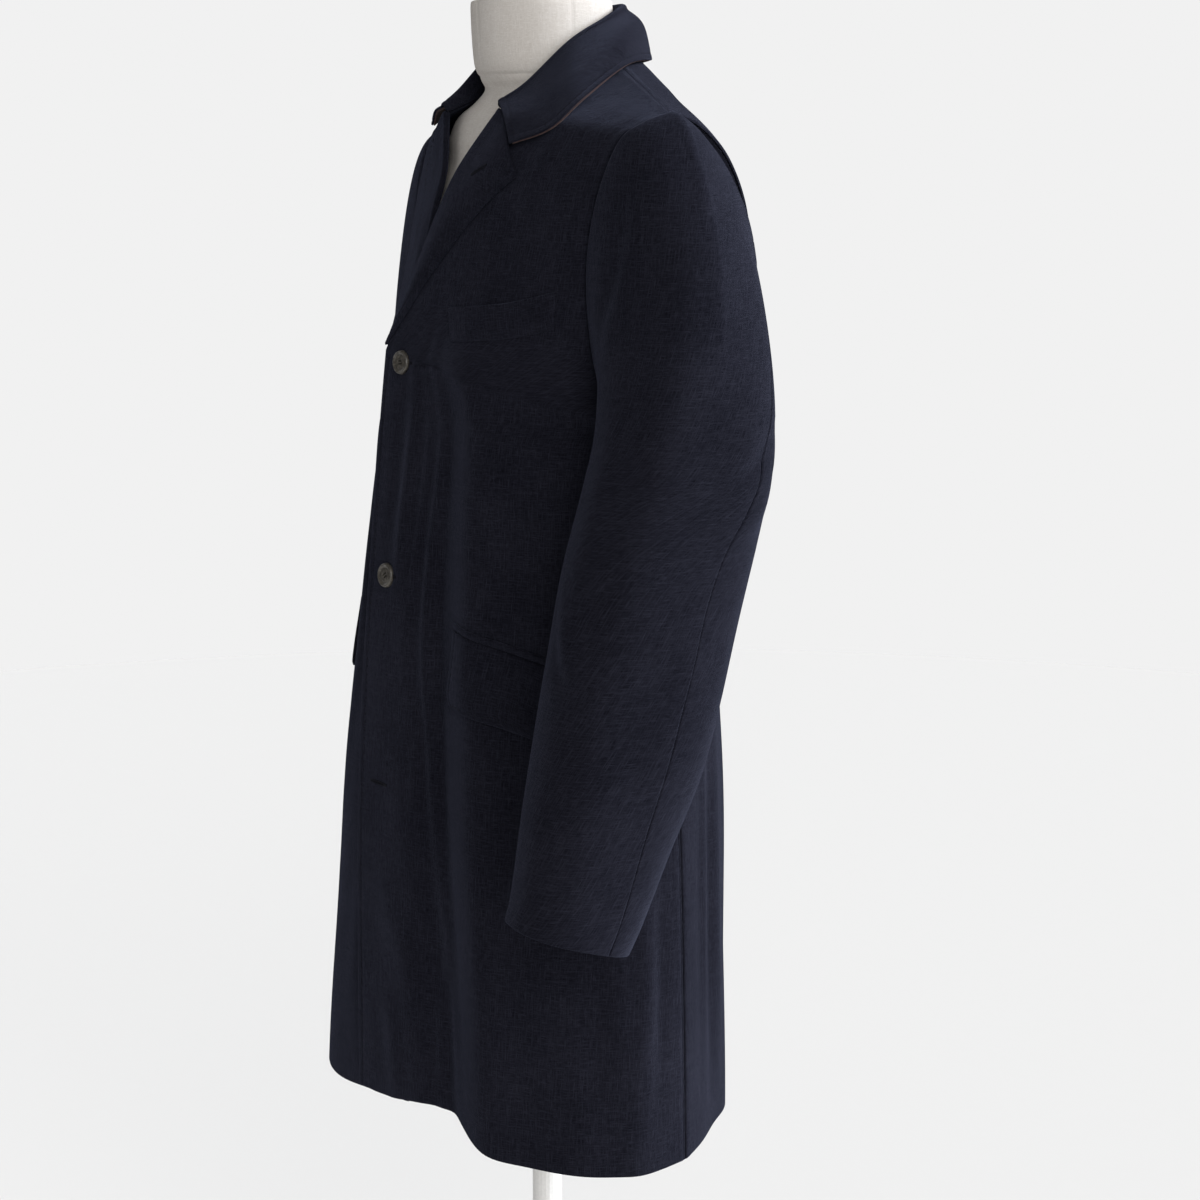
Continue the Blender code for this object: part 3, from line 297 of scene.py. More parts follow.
# A crease across: the ridge and the dips beside it, as place in widths and share of the height.
CREASE_SHAPE = [(0, 1), (1.9, -0.30), (-1.9, -0.20)]
FADE_ACROSS, FADE_STATIONS = 0.08, 1.5      # where creases die away, at the sides and the shoulder
# How many mm one unit across is.
FRONT_SPAN, BACK_SPAN, SLEEVE_SPAN = 400, 270, 21

# ---- fineness of the meshes ----
FRONT_GRID, BACK_GRID = (96, 230, FRONT_SPAN), (64, 210, BACK_SPAN)     # columns, rows, width
TOPSLEEVE_GRID, UNDERSLEEVE_GRID = (84, 240), (52, 140)     # columns, width
SIDES = ("column_low", "column_high", "row_low", "row_high")
EDGE_LINES = [0, 0.25, 0.7, 1.4, 2.6, 4.2, 5.4, 6.0, 6.6, 8.2]      # mm from a finished edge
STITCH_IN = 6.0             # the edge stitching's distance from the edge
STITCH_PITCH, STITCH_LENGTH, STITCH_RADIUS, STITCH_SUNK = 6.5, 2.6, 0.34, 0.12
# Soft grooves along stitching and seams: distance from the edge, depth (less than 0 for a ridge)
# and width.
STITCH_GROOVES = [(STITCH_IN, 0.34, 0.75), (STITCH_IN / 2, -0.16, 2.0)]
SEAM_GROOVES = [(4.0, -0.30, 4.0), (0, 0.55, 0.8)]
EDGE_ROUND = 0.48           # an edge's radius as a share of the cloth's thickness


# ---------------------------------------------------------------- curves and sheets
def unit(vectors):
    return vectors / np.linalg.norm(vectors, axis=-1, keepdims=True)


def floats(first, second):
    return np.broadcast_arrays(np.asarray(first, float), np.asarray(second, float))


def hermite(t, start, end, leave, reach):
    """The smooth curve between two points with the given slopes there."""
    return ((2 * t**3 - 3 * t**2 + 1) * start + (t**3 - 2 * t**2 + t) * leave
            + (3 * t**2 - 2 * t**3) * end + (t**3 - t**2) * reach)


def spline(rows, at, rests=()):
    """Read a table as one smooth curve; `at` counts its rows from 0.

    The curve slows to a stop at the rows in `rests`, so that a corner there leaves no crease.
    """
    table, at = np.array(rows, float), np.asarray(at, float)
    slope = np.gradient(table, axis=0)
    slope[list(rests)] = 0
    low = np.clip(np.floor(at).astype(int), 0, len(table) - 2)
    return hermite((at - low)[..., None], table[low], table[low + 1], slope[low], slope[low + 1])


def distances(path):
    """How far along a path each of its points lies."""
    return np.concatenate([[0], np.cumsum(np.linalg.norm(np.diff(path, axis=0), axis=-1))])


def read_path(at, along, path):
    return np.stack([np.interp(at, along, path[:, k]) for k in range(3)], -1)


def arc(start, end, shape, across):
    """The point `across` (0..1) on the arc from start to end; shape comes from an arc table."""
    leave, leave_pull, reach, reach_pull = np.moveaxis(shape, -1, 0)
    leave, reach = np.radians(leave), np.radians(reach)
    climb = (end[..., 2] - start[..., 2]) / 3
    first = start + np.stack([leave_pull * np.cos(leave), leave_pull * np.sin(leave), climb], -1)
    second = end - np.stack([reach_pull * np.cos(reach), reach_pull * np.sin(reach), climb], -1)
    t = across[..., None]
    return ((1 - t)**3 * start + 3 * (1 - t)**2 * t * first + 3 * (1 - t) * t**2 * second
            + t**3 * end)


class Sheet:
    """A surface of cloth given by a rule point(across, station), with its outer side known."""

    STEP, SEARCHES, FOUND = 0.004, 40, 1e-7

    def __init__(self, point, outward):
        self.point, self.outward = point, outward

    def normal(self, across, station):
        step = self.STEP
        along = self.point(across + step, station) - self.point(across - step, station)
        up = self.point(across, station + step) - self.point(across, station - step)
        return unit(np.cross(along, up) * self.outward)

    def above(self, across, station, height):
        """The point a height out of the sheet."""
        lift = np.asarray(height, float)[..., None]
        return self.point(across, station) + self.normal(across, station) * lift

    def find(self, x, z, guess):
        """The (across, station) where the sheet's x and z have the given values."""
        def at(across, station):
            return self.point(np.array(across), np.array(station))[[0, 2]]
        across, station = guess
        for _ in range(self.SEARCHES):
            here = at(across, station)
            slopes = np.array([at(across + self.STEP, station) - here,
                               at(across, station + self.STEP) - here]).T / self.STEP
            move = np.linalg.solve(slopes, np.array([x, z]) - here)
            across += float(np.clip(move[0], -0.1, 0.1))
            station += float(np.clip(move[1], -1, 1))
            if np.abs(move).max() < self.FOUND:
                break
        return across, station


def mirrored(sheet):
    """The same sheet on the wearer's right side."""
    flip = np.array([-1, 1, 1])
    return Sheet(lambda across, station: sheet.point(across, station) * flip, -sheet.outward)


# ---------------------------------------------------------------- the coat's surfaces
def side_line(armhole_rows, station):
    """Side seam, then the armhole's edge."""
    return np.where((station <= UNDERARM)[..., None], spline(SIDE_SEAM, station, [-1]),
                    spline(armhole_rows, station - UNDERARM, [0]))


def front_line(edge, roll_line, station):
    """Front edge, then the lapel's roll line, then the neck seam."""
    roll = spline(roll_line, station - BREAK, [0, -1])
    lower = np.where((station <= BREAK)[..., None], spline(edge, station, [-1]), roll)
    return np.where((station <= GORGE)[..., None], lower, spline(FRONT_NECK, station - GORGE, [0]))


def back_line(station):
    """Centre back seam, then the back neck as a quarter of an ellipse."""
    share = np.maximum(station - GORGE, 0) / (SHOULDER - GORGE)
    turn = share**2 * (2 - share) * math.pi / 2
    start, end = CENTRE_BACK[-1], FRONT_NECK[-1]
    curve = np.stack([end[0] * np.sin(turn), end[1] + (start[1] - end[1]) * np.cos(turn),
                      start[2] + (end[2] - start[2]) * (1 - np.cos(turn))], -1)
    return np.where((station <= GORGE)[..., None], spline(CENTRE_BACK, station, [-1]), curve)


def fold_height(folds, across, station):
    """How far the large folds push the cloth out of its plain surface."""
    height = np.zeros(np.broadcast(across, station).shape)
    for low, low_across, high, high_across, width, peak in folds:
        run = np.clip((station - low) / (high - low), 0, 1)
        middle = low_across + (high_across - low_across) * run
        height = height + peak * np.cos(run * math.pi / 2) * np.exp(-((across - middle) / width)**2)
    return height


def crease_height(creases, across, z):
    """The same for the finer creases and the shallow waves."""
    height = np.zeros(across.shape)
    share = np.linspace(0, 1, CREASE_STEPS)
    for path, width, peak in creases:
        path = np.array(path, float)
        along = distances(path)
        fine = spline(path, np.interp(share, along / along[-1], np.arange(len(path))))
        extent = np.abs(path[-1] - path[0])
        axis = 0 if extent[0] > extent[1] else 1
        reader, other = (across, z) if axis == 0 else (z, across)
        order = np.argsort(fine[:, axis])
        run = np.interp(reader, fine[order, axis], share[order])
        beside = np.interp(reader, fine[order, axis], fine[order, 1 - axis])
        off = (other - beside) * (extent[axis] / np.linalg.norm(extent)) / width
        shape = sum(part * np.exp(-(off - place)**2) for place, part in CREASE_SHAPE)
        height = height + peak * np.sin(run * math.pi)**1.2 * shape
    for wide, tall, size, start in WAVES:
        height = height + size * np.sin(across / wide + z / tall + start)
    return height


def folded(plain, folds, creases, span, fade):
    """The sheet with its folds and creases pushed out; span is how many mm one unit across is."""
    def point(across, station):
        across, station = floats(across, station)
        base = plain.point(across, station)
        height = (crease_height(creases, across * span, base[..., 2]) * fade(across, station)
                  + fold_height(folds, across, station))
        return base + plain.normal(across, station) * height[..., None]
    return Sheet(point, plain.outward)


def panel_fade(across, station):
    """Creases die away at the edges and seams, which hold the cloth flat."""
    side = np.clip(np.minimum(across, 1 - across) / FADE_ACROSS, 0, 1)
    return side * np.clip((SHOULDER - station) / FADE_STATIONS, 0, 1)


def sleeve_fade(count, level):
    return np.clip(level / 0.5, 0, 1) * np.clip((len(LEFT_SLEEVE) - level) / 0.6, 0.15, 1)


def make_front(edge, roll_line, arcs, folds, creases, hem_rise):
    def point(across, station):
        across, station = floats(across, station)
        place = arc(front_line(edge, roll_line, station), side_line(FRONT_ARMHOLE, station),
                    spline(arcs, station), across)
        fade = np.clip(1 - station / HEM_RISE_ROWS, 0, 1)**2
        bump = np.exp(-((across - HEM_RISE_ACROSS) / HEM_RISE_WIDTH)**2)
        place[..., 2] += hem_rise * fade * bump
        return place
    return folded(Sheet(point, 1), folds, creases, FRONT_SPAN, panel_fade)


def make_back(creases):
    def point(across, station):
        across, station = floats(across, station)
        return arc(back_line(station), side_line(BACK_ARMHOLE, station),
                   spline(BACK_ARC, station), across)
    return folded(Sheet(point, -1), BACK_FOLDS, creases, BACK_SPAN, panel_fade)


def armhole(count):
    """Point of the armhole's edge: count 0 at the shoulder, 4 front, 8 underarm, 12 back."""
    count = np.mod(count, ROUND)
    down = spline(FRONT_ARMHOLE, SHOULDER - UNDERARM - count, [0])
    up = spline(BACK_ARMHOLE, count - ROUND / 2, [0])
    return np.where((count <= ROUND / 2)[..., None], down, up)


def oval(turn, square):
    """Cosine and sine of an angle, pushed out to an oval with squarer shoulders."""
    wide, deep = np.cos(turn), np.sin(turn)
    reach = (np.abs(wide)**square + np.abs(deep)**square)**(-1 / square)
    return wide * reach, deep * reach


def sleeve_section(table, count, level):
    """Point of the sleeve below its cap; level counts the table's rows."""
    x, y, z, half_deep, half_wide, lean = np.moveaxis(spline(table, level), -1, 0)
    wide, deep = oval(count / ROUND * 2 * math.pi, SLEEVE_SQUARE)
    wide, deep, lean = wide * half_wide, deep * half_deep, np.radians(lean)
    return np.stack([x + wide, y - deep * np.cos(lean), z + deep * np.sin(lean)], -1)


def make_sleeve(table, creases):
    """A sleeve: level 0 at the armhole, 1 under the cap, then the rows of its table."""
    def point(count, level):
        count, level = floats(count, level)
        end = sleeve_section(table, count, np.zeros(count.shape))
        turn = count / ROUND * 2 * math.pi
        high, back = (1 + np.cos(turn)) / 2, np.maximum(-np.sin(turn), 0)
        leave = np.stack([first + more * high + ahead * np.sin(turn) + behind * back
                          for first, more, ahead, behind in CAP_LEAVE], -1)
        fold = np.clip((ROUND - np.mod(count, ROUND)) / PLEAT_COUNTS, 0, 1)
        sunk = PLEAT_SUNK * np.sin(fold * math.pi)
        start = (armhole(count) + np.array([SLEEVE_CLEAR, 0, 0])
                 - sunk[..., None] * np.array(PLEAT_INWARD))
        reach = (sleeve_section(table, count, np.full(count.shape, 0.2)) - end) / 0.2
        reach *= np.linalg.norm(end - start, axis=-1, keepdims=True) / CAP_REACH
        cap = hermite(np.clip(level, 0, 1)[..., None], start, end, leave, reach)
        below = sleeve_section(table, count, np.maximum(level - 1, 0))
        return np.where((level <= 1)[..., None], cap, below)
    scaled = [([((count + turn) * SLEEVE_SPAN, z) for count, z in path], width, peak)
              for path, width, peak in creases for turn in (0, -ROUND)]
    return folded(Sheet(point, -1), [], scaled, SLEEVE_SPAN, sleeve_fade)


def graded(points):
    """Points of the tables' figure in millimetres, brought to the real one."""
    at = (points[..., 2] - GRADES[0][0]) / (GRADES[1][0] - GRADES[0][0])
    grade = spline(GRADES, np.clip(at, 0, len(GRADES) - 1))
    return np.stack([points[..., 0] * grade[..., 1], points[..., 1] * grade[..., 1],
                     points[..., 2] + grade[..., 2]], -1)


def pleat_edge(station):
    """Where the back ends at the armhole: drawn back between the pleat's two ends."""
    run = np.clip((station - PLEAT_LOW) / (PLEAT_HIGH - PLEAT_LOW), 0, 1)
    return 1 - PLEAT_OPEN * np.sin(run * math.pi)**0.5


def lapel_places(sheet, part, along):
    """Places on the front under the lapel; part 0 is the roll line, 1 the edge."""
    edge = [sheet.find(sheet.outward * x, z, (0.3, 8.0)) for x, z in LAPEL]
    row = spline(edge, along * (len(LAPEL) - 1))
    start = LAPEL_START + (GORGE - LAPEL_START) * along
    return row[..., 0] * part, start + (row[..., 1] - start) * part


def lapel_height(part, along):
    swell = np.sin(np.clip(part, 0, 1) * math.pi) * LAPEL_ROLL * np.clip(along * 3, 0, 1)
    return LAPEL_STAND + swell + LAPEL_LEAN * part


def sided(count):
    """What turns a place on the wearer's left to the side that the count is on."""
    ones = np.ones(count.shape)
    return np.stack([np.sign(count) + (count == 0), ones, ones], -1)


def neck_seam(count):
    """Point of the neck seam, by the collar's count."""
    back = back_line(GORGE + np.clip(np.abs(count), 0, COLLAR_SHOULDER))
    past = np.clip(np.abs(count) - COLLAR_SHOULDER, 0, None) / (COLLAR_SPAN - COLLAR_SHOULDER)
    front = spline(FRONT_NECK, 2 - 2 * past, [0])
    return np.where((np.abs(count) <= COLLAR_SHOULDER)[..., None], back, front) * sided(count)


def collar_point(over, count):
    """Point of the collar's face: over 0 at the neck seam, 3 on the fold, 6 at the outer edge."""
    over, count = floats(over, count)
    side, row = sided(count), spline(COLLAR, np.abs(count))
    drawn = np.clip(-count - 3, 0, None)[..., None] * np.array(RIGHT_COLLAR_DRAWN)
    fold, swell = row[..., 0:3] * side, row[..., 3:6] * side + drawn / 2
    edge = row[..., 6:9] * side + drawn
    radius = spline([[r] for r in FOLD_RADIUS], np.abs(count))
    seam = neck_seam(count) + np.array([0, 0, COLLAR_RISE])
    away = unit((edge - seam) * np.array([1, 1, 0]))
    down = np.array([0, 0, 1.0]) * radius
    before, after = fold - away * radius - down, fold + away * radius - down
    rows = np.stack([seam, (seam + before) / 2, before, fold, after, swell, edge])
    slope = np.gradient(rows, axis=0)
    low = np.clip(np.floor(over).astype(int), 0, len(rows) - 2)

    def pick(table, index):
        return np.take_along_axis(table, index[None, ..., None], 0)[0]
    return hermite((over - low)[..., None], pick(rows, low), pick(rows, low + 1),
                   pick(slope, low), pick(slope, low + 1))


SHEETS = {
    "front_left": make_front(LEFT_EDGE, LEFT_ROLL_LINE, LEFT_ARC, LEFT_FOLDS, LEFT_CREASES,
                             LEFT_HEM_RISE),
    "front_right": mirrored(make_front(RIGHT_EDGE, RIGHT_ROLL_LINE, RIGHT_ARC, RIGHT_FOLDS,
                                       RIGHT_CREASES, RIGHT_HEM_RISE)),
    "back_left": make_back(BACK_LEFT_CREASES),
    "back_right": mirrored(make_back(BACK_RIGHT_CREASES)),
    "sleeve_left": make_sleeve(LEFT_SLEEVE, LEFT_SLEEVE_CREASES),
    "sleeve_right": mirrored(make_sleeve(RIGHT_SLEEVE, RIGHT_SLEEVE_CREASES)),
    "collar": Sheet(collar_point, -1),
}


# ---------------------------------------------------------------- materials
def finish(name, roughness, **sockets):
    """A new material and its shader; plain values go straight on the shader's sockets."""
    made = bpy.data.materials.new(name)
    made.use_nodes = True
    shader = made.node_tree.nodes["Principled BSDF"]
    for socket, value in {"Roughness": roughness, **sockets}.items():
        shader.inputs[socket.replace("_", " ")].default_value = value
    return made, made.node_tree, shader


def linked(tree, kind, **values):
    """A new node; a value that is a socket is linked to the input of that name or number."""
    node = tree.nodes.new(kind)
    for key, value in values.items():
        if key.startswith("set_"):
            setattr(node, key[4:], value)
            continue
        numbered = key.startswith("in") and key[2:].isdigit()
        target = node.inputs[int(key[2:]) if numbered else key.replace("_", " ")]
        if isinstance(value, bpy.types.NodeSocket):
            tree.links.new(value, target)
        else:
            target.default_value = value
    return node


def math_node(tree, operation, first, second):
    return linked(tree, "ShaderNodeMath", set_operation=operation, in0=first, in1=second).outputs[0]


def streaks(tree, place, across, along, detail=2.0, offset=0.0):
    """Noise drawn out into yarns: its grain is so many mm wide across and along."""
    scaled = linked(tree, "ShaderNodeMapping", in0=place, in1=(offset, offset, 0),
                    in3=(1000 / across, 1000 / along, 1))
    return linked(tree, "ShaderNodeTexNoise", set_noise_dimensions="2D", Vector=scaled.outputs[0],
                  Scale=1.0, Detail=detail, Roughness=0.55).outputs["Fac"]


def ramp(tree, value, stops):
    """A colour ramp from (place, colour) stops."""
    node = linked(tree, "ShaderNodeValToRGB", Fac=value)
    points = node.color_ramp.elements
    while len(points) < len(stops):
        points.new(0.5)
    for point, (place, colour) in zip(points, stops):
        point.position, point.color = place, (*colour, 1)
    return node.outputs["Color"]


def bumped(tree, shader, strength, depth, height):
    relief = linked(tree, "ShaderNodeBump", Strength=strength, Distance=depth, Height=height)
    tree.links.new(relief.outputs["Normal"], shader.inputs["Normal"])


def woven(name, dark, light, roughness, warp, slub, bump, sheen, tint):
    """Plain-woven cloth: uneven yarns both ways, thick slubs, and a fine relief of the weave."""
    made, tree, shader = finish(name, roughness, Sheen_Weight=sheen, Sheen_Roughness=0.32,
                                Sheen_Tint=(*tint, 1), Specular_IOR_Level=0.0)
    place = linked(tree, "ShaderNodeUVMap", set_uv_map="weave").outputs["UV"]
    up = streaks(tree, place, warp, slub)
    over = streaks(tree, place, slub * 0.8, warp, 2.0, 7.3)
    thick_up = streaks(tree, place, warp * 2.4, slub * 3.5, 1.0, 3.1)
    thick_over = streaks(tree, place, slub * 3.0, warp * 2.2, 1.0, 5.7)
    cloud = streaks(tree, place, 60, 90, 2.0, 1.7)
    parts = [math_node(tree, "MULTIPLY", part, share) for part, share in (
        (math_node(tree, "MAXIMUM", up, over), 0.62),
        (math_node(tree, "MAXIMUM", thick_up, thick_over), 0.28), (cloud, 0.16))]
    total = math_node(tree, "ADD", math_node(tree, "ADD", parts[0], parts[1]), parts[2])
    between = [0.6 * a + 0.4 * b for a, b in zip(dark, light)]
    tree.links.new(ramp(tree, total, [(0.42, dark), (0.56, between), (0.74, light)]),
                   shader.inputs["Base Color"])
    waves = [linked(tree, "ShaderNodeTexWave", set_bands_direction=axis, Vector=place,
                    Scale=2 * math.pi / (20 * warp * 0.001), Distortion=0.6,
                    Detail=1.0).outputs["Fac"] for axis in ("X", "Y")]
    weave = math_node(tree, "MULTIPLY", math_node(tree, "MULTIPLY", waves[0], waves[1]), 0.35)
    bumped(tree, shader, bump, 0.0006, math_node(tree, "ADD", weave, total))
    return made


def speckled(name, roughness, noise, stops, bump, gloss=0.05, depth=0.0004, **sockets):
    """A finish whose colour and fine relief both follow one noise."""
    made, tree, shader = finish(name, roughness, Specular_IOR_Level=gloss, **sockets)
    place = linked(tree, "ShaderNodeTexCoord").outputs["Object"]
    grain = linked(tree, "ShaderNodeTexNoise", Vector=place, **noise).outputs["Fac"]
    tree.links.new(ramp(tree, grain, stops), shader.inputs["Base Color"])
    bumped(tree, shader, bump, depth, grain)
    return made


def plain_finish(name, low, high, roughness, scale, gloss=0.05):
    return speckled(name, roughness, {"Scale": scale, "Detail": 4.0}, [(0.3, low), (0.7, high)],
                    0.1, gloss)


def make_finishes():
    return {
        "navy": woven("navy_weave", (0.0047, 0.0049, 0.0078), (0.0185, 0.0190, 0.0280), 0.70,
                      0.62, 8.0, 0.8, 0.10, (0.62, 0.68, 1.0)),
        "under": woven("brown_felt", (0.034, 0.021, 0.021), (0.080, 0.054, 0.053), 0.95,
                       0.9, 2.0, 0.4, 0.1, (1.0, 0.9, 0.85)),
        "linen": woven("linen_cover", (0.54, 0.50, 0.46), (0.67, 0.64, 0.605), 0.9,
                       0.7, 7.0, 0.35, 0.05, (1.0, 1.0, 1.0)),
        "tape": woven("zip_tape_weave", (0.004, 0.004, 0.005), (0.02, 0.02, 0.022), 0.8,
                      0.5, 3.0, 0.4, 0.0, (1.0, 1.0, 1.0)),
        "horn": speckled("horn_polished", 0.34,
                         {"Scale": 240.0, "Detail": 5.0, "Roughness": 0.65, "Distortion": 1.4},
                         [(0.30, (0.020, 0.017, 0.014)), (0.50, (0.052, 0.047, 0.040)),
                          (0.66, (0.095, 0.086, 0.072)), (0.80, (0.17, 0.155, 0.13))], 0.12, 0.35,
                         Coat_Weight=0.05, Coat_Roughness=0.2),
        "paint": speckled("stand_paint", 0.42, {"Scale": 420.0, "Detail": 3.0},
                          [(0.3, (0.70, 0.69, 0.67)), (0.7, (0.76, 0.75, 0.73))], 0.08, 0.5,
                          0.0003),
        "thread": plain_finish("navy_thread", (0.004, 0.0042, 0.007), (0.010, 0.0105, 0.016), 0.6,
                               2600.0),
        # The buttonholes' slot: near-black, painted shade of the gap in the slit.
        "dark": plain_finish("dark_slot", (0.002, 0.002, 0.003), (0.004, 0.004, 0.005), 0.9, 900.0),
        "teeth": plain_finish("zip_teeth", (0.004, 0.004, 0.005), (0.012, 0.012, 0.014), 0.38,
                              700.0, 0.4),
        "cord": plain_finish("button_thread", (0.010, 0.009, 0.008), (0.03, 0.027, 0.022), 0.8,
                             2600.0),
    }


# ---------------------------------------------------------------- meshes
def place_mesh(name, points, faces, material, nodes=(), uv=None):
    """A smooth mesh in the row frame from points in mm, turned to face out, riding on the model."""
    points = graded(np.asarray(points, float)) * MM
    faces = [list(face) for face in faces]
    a, b, c, last = (points[[face[k] for face in faces]] for k in (0, 1, 2, -1))
    four = np.array([len(face) == 4 for face in faces])
    inside_out = (np.einsum("ij,ij->i", a, np.cross(b, c))
                  + np.einsum("ij,ij->i", a, np.cross(c, last)) * four).sum() < 0
    name = f"{name}_look"
    mesh = bpy.data.meshes.new(name)
    mesh.from_pydata(points.tolist(), [], [face[::-1] for face in faces] if inside_out else faces)
    mesh.shade_smooth()
    mesh.materials.append(MATERIALS[material])
    if uv is not None:
        layer = mesh.uv_layers.new(name="weave")
        index = np.zeros(len(mesh.loops), int)
        mesh.loops.foreach_get("vertex_index", index)
        layer.data.foreach_set("uv", (np.asarray(uv)[index] * MM).ravel())
    piece = bpy.data.objects.new(name, mesh)
    bpy.context.scene.collection.objects.link(piece)
    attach(piece, "root")
    if nodes:
        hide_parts(*nodes)
    return piece


def around(grid, start):
    """Level distance along each row of a grid from the column `start`, less before it."""
    steps = np.linalg.norm(np.diff(grid[..., :2], axis=1), axis=-1)
    along = np.concatenate([np.zeros((len(grid), 1)), np.cumsum(steps, 1)], 1)
    return along - along[:, start][:, None]


def quads(rows, columns, offset=0):
    a = (np.arange(rows - 1)[:, None] * columns + np.arange(columns - 1)[None, :]).ravel() + offset
    return np.stack([a, a + 1, a + columns + 1, a + columns], -1)


def closed_rings(rings):
    """Points and faces of a stack of rings, closed with a fan of triangles at both ends."""
    count, segments = rings.shape[:2]
    points = np.concatenate([rings.reshape(-1, 3), [rings[0].mean(0), rings[-1].mean(0)]])
    low, high = len(points) - 2, len(points) - 1
    pairs = [(j, (j + 1) % segments) for j in range(segments)]
    faces = [[i + j, i + k, i + segments + k, i + segments + j]
             for i in range(0, (count - 1) * segments, segments) for j, k in pairs]
    top = (count - 1) * segments
    for j, k in pairs:
        faces += [[low, k, j], [high, top + j, top + k]]
    return points, faces


def from_edge(grid, side):
    """How far each point lies from one side of its grid, measured along the cloth."""
    axis, end = side.split("_")
    rows = grid if axis == "row" else grid.swapaxes(0, 1)
    rows = rows if end == "low" else rows[::-1]
    steps = np.linalg.norm(np.diff(rows, axis=0), axis=-1)
    away = np.concatenate([np.zeros((1, rows.shape[1])), np.cumsum(steps, 0)])
    away = away if end == "low" else away[::-1]
    return away if axis == "row" else away.T


def lines(low, high, count, length, low_edge=True, high_edge=True):
    """Grid lines between two places, closer together near a finished edge; length is in mm."""
    step = (high - low) / length
    near = [d for d in EDGE_LINES if d < length * 0.45]
    first = [low + d * step for d in near] if low_edge else [low]
    last = [high - d * step for d in near][::-1] if high_edge else [high]
    return np.concatenate([first, np.linspace(first[-1], last[0], count + 1)[1:-1], last])


def inset_path(outer, normal, side, skip=0):
    """The line of a grid that lies nearest to the stitching's distance from one of its sides."""
    away = np.abs(from_edge(outer, side) - STITCH_IN)
    axis = 1 if side.startswith("column") else 0
    index = np.expand_dims(away.argmin(axis), (axis, 2))
    path, out = (np.take_along_axis(grid, index, axis).squeeze(axis) for grid in (outer, normal))
    return path[skip:len(path) - skip], out[skip:len(path) - skip]


def spindles(name, points, directions, normals, length, radius, material):
    """Many small spindle-shaped stitches as one mesh."""
    verts, faces = [], []
    turn = np.linspace(0, 2 * math.pi, 6, endpoint=False)
    side = np.cross(directions, normals)
    for point, along, across, normal in zip(points, directions, side, normals):
        first = len(verts)
        verts += [point - along * length / 2, point + along * length / 2]
        for place in (-0.28, 0.28):
            verts += [point + along * length * place
                      + (across * math.cos(t) + normal * math.sin(t)) * radius for t in turn]
        for k in range(6):
            n = (k + 1) % 6
            low, low_next, high, high_next = (first + at for at in (2 + k, 2 + n, 8 + k, 8 + n))
            faces += [[first, low_next, low], [first + 1, high, high_next],
                      [low, low_next, high_next, high]]
    return place_mesh(name, verts, faces, material)


def stitches(name, path, normals):
    """Stitches at even steps along a path of points with their normals."""
    along = distances(path)
    at = np.arange(STITCH_PITCH, along[-1] - STITCH_PITCH / 2, STITCH_PITCH)
    points = read_path(at, along, path)
    direction = unit(read_path(at + 1, along, path) - points)
    normal = unit(read_path(at, along, normals))
    return spindles(name, points - normal * STITCH_SUNK, direction, normal, STITCH_LENGTH,
                    STITCH_RADIUS, "thread")


def cloth(name, outer, normal, thickness, material="navy", edges=SIDES,
          stitched=(), skip=5, wrapped=0, seams=(), with_pieces=(), uv_turn=0.0,
          whole=True, weave=None, sewn=True):
    """A piece of cloth: a thin closed shell with round edges, seams and edge stitching.

    The stitches leave out `skip` points at a side's ends, and the first `wrapped` ones of a row.
    Without `sewn` a stitched side only sinks in; a piece that isn't `whole` is part of another.
    """
    with_pieces = list(with_pieces)
    for side in stitched if sewn else ():
        path, out = inset_path(outer, normal, side, skip)
        start = wrapped if side.startswith("row") else 0
        with_pieces.append(stitches(f"{name}_stitches_{side}", path[start:], out[start:]))
    radius = thickness * EDGE_ROUND
    drop, sunk = np.zeros(outer.shape[:2]), np.zeros(outer.shape[:2])
    for side in edges:
        near = np.clip(radius - from_edge(outer, side), 0, radius)
        drop = np.maximum(drop, radius - np.sqrt(radius**2 - near**2))
    for sides, grooves in ((stitched, STITCH_GROOVES), (seams, SEAM_GROOVES)):
        for side in sides:
            away = from_edge(outer, side)
            for place, depth, width in grooves:
                sunk += depth * np.exp(-((away - place) / width)**2)
    inner = outer - normal * (thickness - drop)[..., None]
    face = outer - normal * (drop + sunk)[..., None]
    across, up = weave or (from_edge(outer, "column_low"), from_edge(outer, "row_low"))
    turn_cos, turn_sin = math.cos(uv_turn), math.sin(uv_turn)
    uv = np.stack([across * turn_cos + up * turn_sin, up * turn_cos - across * turn_sin], -1)
    rows, columns = outer.shape[:2]
    count = rows * columns
    rim = list(range(columns)) + [i * columns + columns - 1 for i in range(1, rows)]
    rim += [(rows - 1) * columns + j for j in range(columns - 2, -1, -1)]
    rim += [i * columns for i in range(rows - 2, 0, -1)]
    faces = quads(rows, columns).tolist() + quads(rows, columns, count)[:, ::-1].tolist()
    faces += [[a, a + count, b + count, b] for a, b in zip(rim, rim[1:] + rim[:1])]
    points = np.concatenate([face.reshape(-1, 3), inner.reshape(-1, 3)])
    piece = place_mesh(name, points, faces, material, [name],
                       np.concatenate([uv.reshape(-1, 2)] * 2))
    if not whole:
        return piece
    cut = graded(outer) * MM
    flat = (float(from_edge(cut, "column_low")[:, -1].max()),
            float(from_edge(cut, "row_low")[-1].max()))
    return piece


# ---------------------------------------------------------------- the coat's pieces
def make_jet(panel, sheet):
    """The narrow turned strip above a pocket's flap, sewn to its front."""
    part, up = np.meshgrid(lines(0, 1, 60, 150), np.linspace(0, 1, 9))
    across, station = patch_places(sheet, JET, part, up)
    puff = 1.2 + 0.7 * np.sin(up * math.pi)
    return cloth(panel.replace("front", "jet"), sheet.above(across, station, puff),
                 sheet.normal(across, station), 1.1, edges=["column_low", "column_high"],
                 uv_turn=0.3, whole=False)


